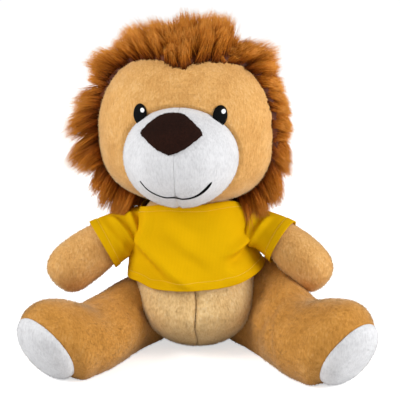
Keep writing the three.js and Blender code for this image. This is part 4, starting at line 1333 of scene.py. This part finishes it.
@dataclass
class Leg:
    """A stuffed leg that lies on the floor, with its white sole."""

    side: int
    length: float = 111
    sole_half: tuple = (27.5, 31.5)
    bulge: float = 14.0
    tilt: float = np.radians(30)
    sole_turn: float = np.radians(7)
    rest: float = 0.8
    pile_mm: float = 0.9
    hip_out: float = 45
    hip_ahead: float = 3
    nap: tuple = (1.0, 1.5, 0.38)
    sole_nap: tuple = (0.8, 0.9, 0.36)
    under: float = -2.0

    def __post_init__(self) -> None:
        """Works out the hip, the leg's axes and its line.

        The sections are [half width, height, inset] of thigh, ankle, foot and sole. A station has its
        share of the leg's length and then a weight for each section.
        """
        self.name = "left" if self.side > 0 else "right"
        splay = np.radians(37.5 if self.side > 0 else 38.5)
        pelvis = np.radians(7)
        self.pivot = np.array([self.side * self.hip_out * np.cos(pelvis),
                               -self.hip_ahead - self.side * self.hip_out * np.sin(pelvis), 0])
        self.ahead = np.array([self.side * np.sin(splay), -np.cos(splay), 0])
        self.inwards = np.array([-self.side * np.cos(splay), -np.sin(splay), 0])
        self.pinch, self.lean = (13.0, 18.0) if self.side > 0 else (8.0, 2.0)
        seam = self.sole_half[1] * np.cos(self.tilt)
        thigh, ankle, foot = (72, 57, 68.5) if self.side > 0 else (57, 48.5, 65)
        sections = np.array([[26.5, thigh / (1 + self.rest), 2.5], [33, ankle / (1 + self.rest), 3],
                             [34, foot / (1 + self.rest), 2], [self.sole_half[0], seam, 0]])
        stations = np.array([[-0.29, 0.46, 0, 0, 0], [-0.23, 0.78, 0, 0, 0], [-0.09, 0.97, 0, 0, 0],
                             [0.12, 1, 0, 0, 0], [0.4, 0.35, 0.65, 0, 0], [0.6, 0, 0.9, 0.1, 0],
                             [0.78, 0, 0.2, 0.8, 0], [0.92, 0, 0, 0.9, 0.1], [1, 0, 0, 0, 1]])
        sizes = stations[:, 1:] @ sections
        self.line = spline(np.column_stack([sizes, stations[:, 0] * self.length,
                                            stations[:, 3] / 2 + stations[:, 4], stations[:, 4]]), 400)

    def surface(self, turn: Array, share: Array) -> Array:
        """Points of the leg: an ellipse at each share of its line, sheared to the sole's plane, flat below.

        Args:
            turn: The angle round the leg.
            share: Of the way from the hip's end to the sole seam.

        Returns:
            The points in the frame.
        """
        at = np.linspace(0, 1, len(self.line))
        wide, high, inset, along, foot, sole = (np.interp(share, at, self.line[:, k]) for k in range(6))
        middle = high * (self.rest + (1 - self.rest) * sole)
        rise = high * np.sin(turn)
        pinched = self.pinch * (1 - ease(along, 0, 80)) * np.maximum(np.cos(turn), 0)
        aside = inset + wide * np.cos(turn) - pinched
        aside = aside - self.lean * (1 - ease(along, 10, 60)) * np.maximum(rise / high, 0)
        ahead = along + foot * (rise * np.tan(self.tilt) + aside * np.tan(self.sole_turn))
        local = points_of(ahead, aside, np.maximum(middle + rise, 0))
        return self.placed(local)

    def placed(self, local: Array) -> Array:
        """Points in the leg's own axes put in the frame."""
        return self.pivot + local @ np.array([self.ahead, self.inwards, [0, 0, 1]])

    def build(self) -> None:
        """Makes the leg's cover and its sole."""
        turn = ring_of(130)
        share = np.concatenate([np.linspace(0.0, 0.93, 96), np.linspace(0.935, 1, 14)])[:, None]
        grid = self.surface(turn, share)
        axis = grid.mean(1, keepdims=True)
        off = unit(grid - axis)
        curl = 1.6 * ease(share, 0.985, 1.0)
        crease = self.creases(grid)
        relief = 0.6 * ripple(grid, 30, 70 + self.side) + 0.2 * ripple(grid, 10, 72)
        grid = grid + off * (relief - curl - crease - self.pile_mm)[..., None]
        grid[..., 2] = np.maximum(grid[..., 2], 0)
        seam = self.surface(turn, np.array([[1.0]]))[0]
        middle = seam.mean(0)
        facing = self.placed(unit(np.array([1, -np.tan(self.sole_turn), -np.tan(self.tilt)]))) - self.pivot
        grid = Torso().outside(grid, self.under)
        caps = np.array([grid[0].mean(0), middle])
        tucked = middle + (seam - middle) * 0.8
        skin = skin_of(np.concatenate([grid, tucked[None]]), start=caps[0], end=caps[1])
        skin.toned()
        flow = np.broadcast_to(0.75 * unit(self.ahead + [0, 0, -0.5]), skin.points.shape)
        keep = (skin.points[:, 2] > 0.8).astype(float)
        keep[-132:] = 0
        furred = skin.joined(pile(skin, *self.nap, flow, 80 + self.side, keep=keep))
        cover = mesh_of("leg_plush_" + self.name, furred, Finish.LIMB)
        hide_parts("leg_cover_" + self.name, "leg_filling_" + self.name)
        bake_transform(cover)

        dome = spline([(1, 0), (0.96, 0.28), (0.84, 0.55), (0.62, 0.8), (0.32, 0.95), (0.05, 1.0)], 46)
        rim = np.array([[0.8, -0.12], [0.93, -0.1], [0.965, -0.02]])
        size, out = (np.concatenate([rim[:, k], dome[1:, k] * (1 if k else 0.985)])[:, None, None]
                     for k in (0, 1))
        rings = middle + (seam - middle) * size + facing * self.bulge * out
        rings = rings + facing * (0.4 * ripple(rings, 22, 90))[..., None]
        rings[..., 2] = np.maximum(rings[..., 2], 0)
        skin = skin_of(rings, start=middle - facing * 1.5, end=middle + facing * self.bulge)
        skin.toned(0.5)
        outward = ((skin.points - middle) @ facing > 0.5).astype(float) * (skin.points[:, 2] > 0.5)
        flow = np.broadcast_to([0.0, -0.2, -0.5], skin.points.shape)
        furred = skin.joined(pile(skin, *self.sole_nap, flow, 84 + self.side, keep=outward))
        sole = mesh_of("sole_plush_" + self.name, furred, Finish.WHITE)
        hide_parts("sole_" + self.name)
        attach(sole, "leg_" + self.name)

    def creases(self, points: Array) -> Array:
        """The depth of the soft creases in the leg's front: a bell across each line and along it.

        Args:
            points: Places in the frame.

        Returns:
            The depth at each.
        """
        across = (points - self.pivot) @ self.inwards
        along = (points - self.pivot) @ self.ahead
        lines = ([(40, 0.5, 2.0, 7, 22), (56, -0.35, 1.6, 6, 18)] if self.side > 0
                 else [(38, 0.3, 1.6, 7, 20), (22, 0.7, 1.5, 5, 18)])
        depth = np.zeros(points.shape[:-1])
        for at, slant, deep, wide, long in lines:
            height = points[..., 2] - 36
            bell = np.exp(-(((along - at - slant * height) / wide) ** 2) - (height / long) ** 2)
            depth += deep * bell * (across > -5)
        return depth


@dataclass
class Tail:
    """The slim tail that lies back along the floor, with its tuft."""

    radius: float = 7
    tuft_length: float = 34
    nap: tuple = (0.9, 1.7, 0.42)
    under: float = -2.0

    def build(self) -> None:
        """Makes the tube along its bent line, and the tuft as locks on a small egg."""
        line = spline([(0, 32, 16), (0, 39, 16), (0, 62.5, 13), (0, 86, 13)], 60)
        turn = ring_of(40)
        along = unit(np.gradient(line, axis=0))
        above = np.cross([1.0, 0, 0], along)
        ring = np.cos(turn)[..., None] * np.array([1.0, 0, 0]) + np.sin(turn)[..., None] * above[:, None]
        radius = self.radius - 0.4 + 0.25 * ripple(line[:, None] + 8 * ring, 12, 91)
        grid = line[:, None] + ring * radius[..., None]
        grid = Torso().outside(grid, self.under)
        skin = skin_of(grid, start=line[0] + [0, 4, 0], end=line[-1]).toned()
        flow = np.broadcast_to([0.0, 0.7, -0.1], skin.points.shape)
        keep = (skin.points[:, 1] > 40).astype(float)
        furred = skin.joined(pile(skin, *self.nap, flow, 92, keep=keep))
        tube = mesh_of("tail_plush", furred, Finish.LIMB)
        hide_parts("tail_tube")
        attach(tube, "tail")

        rng = np.random.default_rng(93)
        middle = np.array([0, 86 + 0.34 * self.tuft_length, 13.0])
        core = np.array([6.5, 11.0, 6.5])
        turn = ring_of(28)
        tilt = np.linspace(0.08, np.pi - 0.08, 16)[:, None]
        egg = points_of(np.sin(tilt) * np.cos(turn), -np.cos(tilt), np.sin(tilt) * np.sin(turn))
        backing = skin_of(middle + core * egg, start=middle - core * [0, 1, 0], end=middle + core * [0, 1, 0])
        # Tone 0 and a low shade give the backing the hair's darkest root colour: painted shade seen between
        # the locks.
        backing.toned(0.0, 0.3)
        normal = unit(rng.normal(size=(200, 3)))
        way = unit(0.55 * normal + [0, 1.0, -0.05])
        roots = middle + core * normal
        length = self.tuft_length * 0.62 * rng.uniform(0.8, 1.05, 200)
        low = (roots + way * length[:, None])[:, 2] < 2
        way[low] = unit(way[low] * [1, 1, 0] + [0, 0, 0.02])
        droop = np.broadcast_to([0, 0.05, -0.03], roots.shape) - 0.28 * normal * [1, 0, 1]
        hair = locks(roots, normal, way, length, droop, 12, 1.6, 0.8, 94)
        hair.points[:, 2] = np.maximum(hair.points[:, 2], 0.3)
        piece = mesh_of("tail_tuft_locks", backing.joined(hair), Finish.MANE)
        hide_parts("tail_tuft")
        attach(piece, "tail")


def cut_of(grid: Array) -> tuple:
    """The flat size of a grid of cloth: its mean width and its mean length, as it is worn.

    Args:
        grid: Rows and columns of points on the cloth.

    Returns:
        The width and the length, in metres.
    """
    width = np.linalg.norm(np.diff(grid, axis=1), axis=-1).sum(1).mean()
    length = np.linalg.norm(np.diff(grid, axis=0), axis=-1).sum(0).mean()
    log.info("cloth cut to %.1f by %.1f mm", width, length)
    return width * MM, length * MM


@dataclass
class Shirt:
    """The knitted shirt: front, two back panels with their tapes, and sleeves."""

    ease_mm: float = 2.4
    flare: float = 3.0
    wall: float = 1.2
    hem: float = 60.0
    hem_tilt: float = 2.0
    hem_rise: float = 2.5
    hem_swing: float = 3.0
    side_flare: float = 3.0
    corner_rise: float = 3.5
    collar_rise: float = 3.0
    shoulder_drop: float = 4.0
    top: float = 124.0
    collar: tuple = (40.0, 26.0)
    seam: float = 3.0
    sleeve: float = 38.0
    sleeve_room: float = 1.7
    lap: float = 3.4
    hem_stitch: float = 6.4
    collar_stitch: float = 4.4
    cuff_stitch: float = 5.9
    stitch_pitch: float = 1.75
    stitch_dip: float = 0.8
    armhole_size: tuple = (12, 18.5)
    armhole_height: float = 97
    tape_heights: tuple = (94, 116)

    def __post_init__(self) -> None:
        """Takes the torso that the shirt follows."""
        self.torso = Torso()

    def hem_at(self, x: Array) -> Array:
        """The hem's height: tilt s + rise s^2 + swing s^3 above its middle, at a share s of the half width.

        Args:
            x: Places across the shirt.

        Returns:
            The height at each, with the right corner's own rise.
        """
        share = x / self.torso.half_width
        level = self.hem + self.hem_tilt * share + self.hem_rise * share**2 + self.hem_swing * share**3
        return level + self.corner_rise * ease(-share, 0.72, 1.04)

    def cloth(self, turn: Array, z: Array, ease_mm: float = 0.0) -> Array:
        """Points of the shirt's outer face at an angle and a height.

        They lie on the torso's pear, larger by the ease, the wall and a flare that grows towards the hem,
        with seven soft flutes and the folds that hang from the armholes.

        Args:
            turn: The angle about the upright axis.
            z: The height.
            ease_mm: Any further room.

        Returns:
            The points.
        """
        room = self.ease_mm + self.wall + ease_mm
        drop = 1 - np.clip(z / self.top, 0, 1)
        base = self.torso.surface(turn, self.torso.rise_at(z, room), room)
        base[..., 2] = z
        flute = 1.1 * np.cos(7 * turn + 2 * drop)
        out = np.stack([np.cos(turn) + 0 * z, np.sin(turn) + 0 * z, 0 * (turn + z)], -1)
        across, height = base[..., 0], base[..., 2]
        front = np.sin(turn) < 0
        folds = sum(fold(np.stack([across, height], -1), *line) for line in FRONT_FOLDS) * front
        grain = 0.25 * ripple(base, 13, 15, (1.6, 1.6, 0.8))
        aside = self.side_flare * drop**2 * ease(-np.cos(turn), 0.5, 1)
        return base + out * (drop * (self.flare + 1.6 * flute) + aside + folds + grain)[..., None]

    def edges(self, above: Array, below: Array) -> Array:
        """How much thicker the cloth is where it is turned under, less how far the topstitching draws it in.

        Args:
            above: How far each point is above the hem.
            below: How far it is below the collar.

        Returns:
            The change of thickness.
        """
        fold = 0.5 * (1 - ease(above, 6.6, 7.6)) + 0.45 * (1 - ease(below, 4.6, 5.4))
        drawn = 0.5 * np.exp(-(((above - self.hem_stitch) / self.stitch_dip) ** 2))
        return fold - drawn - 0.45 * np.exp(-(((below - self.collar_stitch) / self.stitch_dip) ** 2))

    def top_at(self, turn: Array) -> Array:
        """The collar's height at each angle: the first at which the cloth is inside the collar's ellipse.

        Args:
            turn: The angles.

        Returns:
            The heights, as one row.
        """
        z = np.linspace(96, self.top, 80)[:, None]
        base = self.torso.surface(turn, self.torso.rise_at(z, self.ease_mm), self.ease_mm + self.wall)
        inside = np.hypot((base[..., 0] + self.torso.lean) / self.collar[0], base[..., 1] / self.collar[1])
        inside[-1] = 0
        at = np.argmax(inside <= 1, axis=0)
        step = np.arange(inside.shape[1])
        before, after = inside[np.maximum(at - 1, 0), step], inside[at, step]
        share = np.clip((before - 1) / np.maximum(before - after, 1e-6), 0, 1)
        return (z[np.maximum(at - 1, 0), 0] * (1 - share) + z[at, 0] * share)[None]

    def armhole(self, z: Array) -> Array:
        """Half the width of the armhole at a height: an ellipse about the shoulder, 0 above and below."""
        across, up = self.armhole_size
        return across * np.sqrt(np.maximum(1 - ((z - self.armhole_height) / up) ** 2, 0))

    def panel(self, ends: tuple, columns: int, rows: int, lift: float = 0.0) -> Array:
        """The outer points of a panel.

        Args:
            ends: For each edge, "left" or "right" for the side seam there, or the x at which it ends.
            columns: Across it.
            rows: Up it.
            lift: Any further room under it.

        Returns:
            The grid of points.
        """
        share = np.linspace(0, 1, rows)[:, None]
        z = self.hem + (self.top - self.hem) * share
        front = ends[2] < 0
        limits = []
        for end in ends[:2]:
            middle = self.cloth(np.zeros(1), z[:, 0][:, None], lift)[:, 0]
            half = self.torso.half_depth * 0.9
            if isinstance(end, int):
                beside = np.arcsin(np.clip((self.seam + ends[2] * (0.2 + self.armhole(z))) / half, -1, 1))
                limits.append(np.where(end > 0, beside, np.pi - beside) + (TURN if front and end > 0 else 0))
            else:
                width = middle[:, :1] + self.torso.lean * z / self.torso.height
                place = (end + self.torso.lean * z / self.torso.height) / width
                limits.append(np.pi / 2 - np.arcsin(np.clip(place, -1, 1)))
        turn = limits[0] + (limits[1] - limits[0]) * np.linspace(0, 1, columns)[None, :]
        high = np.stack([self.top_at(row)[0] for row in turn[[0, rows // 2, -1]]]).mean(0)[None]
        for _ in range(2):
            x = self.cloth(turn, z, lift)[..., 0]
            low = self.hem_at(x)
            neck = high + self.collar_rise * ease(x[-1], 4, 28) - self.shoulder_drop * ease(x[-1], 28, 38)
            z = low + (neck - low) * share
        grid = self.cloth(turn, z, lift)
        out = np.stack([np.cos(turn), np.sin(turn), 0 * turn], -1)
        return grid + out * self.edges(z - low, neck - z)[..., None]

    def sew(self, name: str, grid: Array) -> None:
        """Makes a body panel from its outer points, with its rows of topstitching at hem and collar.

        Args:
            name: Of the panel's node.
            grid: Its outer points.
        """
        skin = slab(grid, self.wall, 0.3)
        piece = mesh_of(name + "_jersey", skin, Finish.JERSEY)
        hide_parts(name)
        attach(piece, "torso")
        z = grid[..., 2]
        normal = unit(np.cross(np.gradient(grid, axis=1), np.gradient(grid, axis=0)))
        normal *= np.sign((normal * unit(grid * [1, 1, 0])).sum(-1).mean())
        rows = []
        for level in (self.hem_at(grid[..., 0]) + self.hem_stitch, z[-1] - self.collar_stitch + 0 * z):
            row = np.argmin(np.abs(z - level), axis=0)
            pick = np.arange(grid.shape[1])
            rows.append(stitches(grid[row, pick], normal[row, pick], self.stitch_pitch, 1.0, 0.75))
        thread = mesh_of(name + "_topstitching", rows[0].joined(rows[1]), Finish.SEWING)
        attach(thread, "torso")
        cut_of(grid)

    def build(self) -> None:
        """Makes the panels, the tapes and the sleeves."""
        self.sew("shirt_front", self.panel((-1, 1, -1), 150, 84))
        self.sew("shirt_back_right", self.panel((-0.3, -1, 1), 84, 84))
        left = self.panel((1, -14.0, 1), 100, 84)
        lapped = 1 - ease(left[..., 0], -1, 9)
        out = unit(left * [1, 1, 0])
        self.sew("shirt_back_left", left + out * (self.lap * lapped)[..., None])
        for name, lift in (("closure_loop_tape", 1.0), ("closure_hook_tape", 1.9)):
            tape = self.panel((-2.0, -12.0, 1), 12, 84, lift)
            low, high = self.tape_heights
            band = tape[(tape[:, 0, 2] > low) & (tape[:, 0, 2] < high)]
            piece = mesh_of(name + "_weave", slab(band, 0.7, 0.1), Finish.TAPE)
            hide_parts(name)
            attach(piece, "torso")
            cut_of(band)
        for side in (1, -1):
            self.build_sleeve(Arm(side))

    def build_sleeve(self, arm: Arm) -> None:
        """Makes a sleeve: a tube round the arm whose upper edge lies on the shirt's side, with a turned cuff.

        Args:
            arm: The arm that wears it.
        """
        turn = ring_of(120)
        along = np.linspace(-3, self.sleeve, 60)[:, None]
        shares = np.arange(len(arm.profile)) / (len(arm.profile) - 1)
        at = np.interp(along / arm.length, arm.profile[:, 1], shares)
        cap = 0.3 - 1.2 * (1 - ease(along, 4, 24)) * np.abs(np.cos(turn))
        tube = points_of(18 * np.cos(turn), 18 * np.sin(turn), along * 1.0)
        wrinkle = ripple(tube, 15, 16 + arm.side, (1, 1, 2.2))
        free = 1 - ease(along, self.sleeve - 9, self.sleeve - 4)
        round_arm = (arm.side * (np.degrees(turn) - 90) + 180) % 360 - 180
        across = points_of(np.radians(round_arm) * arm.half_height, along)
        creases = sum(fold(across, np.radians(a) * arm.half_height, u, np.radians(b) * arm.half_height, v,
                           high, wide)
                      for side, a, u, b, v, high, wide in SLEEVE_FOLDS if side == arm.side)
        room = self.sleeve_room + cap + (0.8 * wrinkle + creases) * free
        local = arm.surface(turn, at, 0.0)
        flat = unit(local * [1, 1, 0])
        cuff = 0.45 * ease(along, self.sleeve - 6.6, self.sleeve - 5.8)
        cuff = cuff - 0.4 * np.exp(-(((along - self.sleeve + self.cuff_stitch) / self.stitch_dip) ** 2))
        local = local + flat * (room + cuff + 0 * turn)[..., None]
        local[..., 2] = along
        grid = arm.hung(local)
        seated = self.torso.outside(grid, self.ease_mm + self.wall + 0.9)
        push = np.linalg.norm(seated - grid, axis=-1, keepdims=True)
        grid = np.where(push > 0, seated, grid)
        axis = arm.hung(np.stack([0 * along, 0 * along, along], -1))
        inner = grid - unit(grid - axis) * self.wall
        ring = np.concatenate([grid, inner[::-1]])
        u = np.linspace(0, 110, 121)[None, :]
        v = np.concatenate([along, along[::-1], along[:1]])
        skin = skin_of(ring, loop=True, uv=points_of(u, v))
        piece = mesh_of("sleeve_jersey_" + arm.name, skin, Finish.JERSEY)
        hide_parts("sleeve_" + arm.name)
        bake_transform(piece)
        row = np.argmin(np.abs(along[:, 0] - self.sleeve + self.cuff_stitch))
        line = np.vstack([grid[row], grid[row][:1]])
        normal = unit(line - axis[row])
        sewn = stitches(line, normal, self.stitch_pitch, 1.0, 0.7)
        thread = mesh_of("sleeve_topstitching_" + arm.name, sewn, Finish.SEWING)
        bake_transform(thread)
        opened = np.concatenate([grid, grid[:, :1]], 1)
        cut_of(opened)


MANE_FLOW = np.array([
    # angle round the face, how far the locks are swept round it, share of the hair's length, forward tilt
    (0, -42, 0.5, -0.3), (15, -44, 0.46, -0.3), (28, -44, 0.48, -0.2), (38, -42, 0.74, -0.1),
    (46, -38, 1.1, 0),
    (54, -28, 0.68, 0), (60, -4, 0.12, 0), (66, 8, 0.98, 0.05), (76, 8, 0.9, 0.08), (86, 5, 0.72, 0.08),
    (96, 8, 0.52, 0.08), (106, 10, 0.7, 0.08), (116, 10, 1.04, 0.08), (126, 12, 0.88, 0.05),
    (135, 12, 0.74, 0),
    (144, 14, 1.12, 0), (154, 14, 0.66, 0), (166, 14, 0.94, 0.05), (180, 18, 1.16, 0.1), (193, 20, 1.22, 0.2),
    (208, 28, 0.86, 0.5), (220, 26, 1.0, 1.2), (232, 18, 1.2, 1.9), (245, 6, 1.2, 2.0), (260, 0, 0.9, 1.4),
    (280, 0, 0.8, 1.2), (298, -10, 1.0, 1.6), (310, -26, 1.08, 1.2), (320, -42, 0.86, 0.4),
    (335, -44, 0.78, -0.15),
    (348, -42, 0.62, -0.25), (360, -42, 0.5, -0.3),
])
HAIRLINE = np.array([
    # angle round the face, and the depth at which the mane starts there, with its peak over the brow
    (0, -19), (12, -18), (24, -17), (36, -14), (46, -15), (58, -24), (70, -31), (80, -35), (88, -40),
    (96, -39),
    (105, -33.5), (119, -24), (130, -15), (141, -9), (155, -12), (170, -12), (185, -10), (203, -7), (219, -5),
    (236, -8), (250, -4), (270, 4), (290, -2), (302, -6), (325, -10), (340, -15),
])
FRONT_FOLDS = (
    # x and z where a fold of the shirt's front starts and ends, its height and its half width, in millimetres
    (-46.0, 94.0, -4.0, 62.0, 4.6, 5.0),
    (-46.0, 82.0, -20.0, 60.0, -2.6, 4.5),
    (-28.0, 98.0, 6.0, 74.0, -1.8, 5.0),
    (46.0, 98.0, 20.0, 86.0, 4.6, 3.6),
    (46.0, 88.0, 24.0, 78.0, -2.8, 3.6),
    (24.0, 68.0, 52.0, 66.0, 4.4, 8.0),
    (-24.0, 114.0, 6.0, 100.0, -1.8, 7.0),
    (-37.0, 118.0, -42.0, 92.0, 3.2, 3.4),
    (34.0, 118.0, 38.0, 102.0, 2.6, 4.0),
)
SLEEVE_FOLDS = (
    # side, then degrees from the top of the arm to its front and distance along it where a fold starts,
    # the same where it ends, its height and its half width
    (-1, 24.0, 9.0, 130.0, 10.0, 3.6, 2.6),
    (-1, 24.0, 22.0, 120.0, 13.0, 3.6, 2.6),
    (-1, 40.0, 30.0, 140.0, 22.0, 2.0, 3.0),
    (1, 24.0, 11.0, 105.0, 14.0, 4.4, 3.0),
    (1, 30.0, 22.0, 140.0, 16.0, 3.4, 2.6),
    (1, 60.0, 4.0, 130.0, 10.0, 2.6, 2.6),
)


@dataclass
class Studio:
    """The pale floor, the soft lights and the camera."""

    focal_px: float = 1312.0
    frame_px: float = 400.0
    distance: float = 1050.0
    elevation: float = np.radians(15)
    aim: tuple = (2.0, 0.0, 120.0)

    def build_floor(self) -> None:
        """Makes a wide matt white floor that keeps a faint shadow and glows a little for the camera."""
        size = 6.0
        mesh = bpy.data.meshes.new("floor")
        corners = [(-size, -size, 0), (size, -size, 0), (size, size, 0), (-size, size, 0)]
        mesh.from_pydata(corners, [], [(0, 1, 2, 3)])
        material = bpy.data.materials.new("matt_white_paper")
        material.use_nodes = True
        tree = material.node_tree
        shader = tree.nodes["Principled BSDF"]
        shader.inputs["Base Color"].default_value = (0.84, 0.84, 0.84, 1)
        shader.inputs["Roughness"].default_value = 1.0
        shader.inputs["Specular IOR Level"].default_value = 0.0
        glow = add(tree, "ShaderNodeEmission", {"Color": (1, 1, 1, 1), "Strength": 0.62})
        path = add(tree, "ShaderNodeLightPath").outputs["Is Camera Ray"]
        both = add(tree, "ShaderNodeAddShader", {0: shader.outputs[0], 1: glow.outputs[0]})
        mixed = add(tree, "ShaderNodeMixShader", {0: path, 1: shader.outputs[0], 2: both.outputs[0]})
        tree.links.new(mixed.outputs[0], tree.nodes["Material Output"].inputs["Surface"])
        mesh.materials.append(material)
        floor = bpy.data.objects.new("floor", mesh)
        bpy.context.scene.collection.objects.link(floor)

    def build_lights(self) -> None:
        """Makes the room's even light and two large soft lamps."""
        world = bpy.data.worlds.new("studio")
        world.use_nodes = True
        bpy.context.scene.world = world
        tree = world.node_tree
        even = tree.nodes["Background"]
        even.inputs["Color"].default_value = (1, 1, 1, 1)
        even.inputs["Strength"].default_value = 0.44
        seen = add(tree, "ShaderNodeBackground", {"Color": (1, 1, 1, 1), "Strength": 1.0})
        path = add(tree, "ShaderNodeLightPath").outputs["Is Camera Ray"]
        mixed = add(tree, "ShaderNodeMixShader", {0: path, 1: even.outputs[0], 2: seen.outputs[0]})
        tree.links.new(mixed.outputs[0], tree.nodes["World Output"].inputs["Surface"])
        for name, place, size, power in (("left_softbox", (-1.1, -0.45, 0.85), 0.7, 14.0),
                                         ("right_softbox", (1.15, -0.45, 0.6), 0.7, 15.0)):
            lamp = bpy.data.lights.new(name, "AREA")
            lamp.size, lamp.energy = size, power
            holder = bpy.data.objects.new(name, lamp)
            holder.location = place
            aim = Vector((0, 0, 0.13)) - holder.location
            holder.rotation_euler = aim.to_track_quat("-Z", "Y").to_euler()
            bpy.context.scene.collection.objects.link(holder)

    def build_camera(self) -> None:
        """Makes the camera at the photograph's angle, its lens from the focal length in pixels."""
        lens = bpy.data.cameras.new("camera")
        lens.sensor_width = 36.0
        lens.lens = self.focal_px / self.frame_px * lens.sensor_width
        lens.clip_start, lens.clip_end = 0.05, 20
        camera = bpy.data.objects.new("camera", lens)
        back = np.array([0, -np.cos(self.elevation), np.sin(self.elevation)])
        camera.location = (np.array(self.aim) + self.distance * back) * MM
        camera.rotation_euler = (np.pi / 2 - self.elevation, 0, 0)
        bpy.context.scene.collection.objects.link(camera)
        bpy.context.scene.camera = camera

    def build(self) -> None:
        """Makes the whole studio and sets how colours are shown."""
        self.build_camera()
        self.build_floor()
        self.build_lights()
        bpy.context.scene.view_settings.view_transform = "Standard"


def main() -> None:
    logging.basicConfig(level=logging.INFO, format="%(name)s: %(message)s")
    head = Head()
    parts = [Torso(), head, Mane(head), Arm(1), Arm(-1), Leg(1), Leg(-1), Tail(), Shirt(), Studio()]
    for part in parts:
        part.build()
        log.info("built %s", type(part).__name__)


if __name__ == "__main__":
    main()
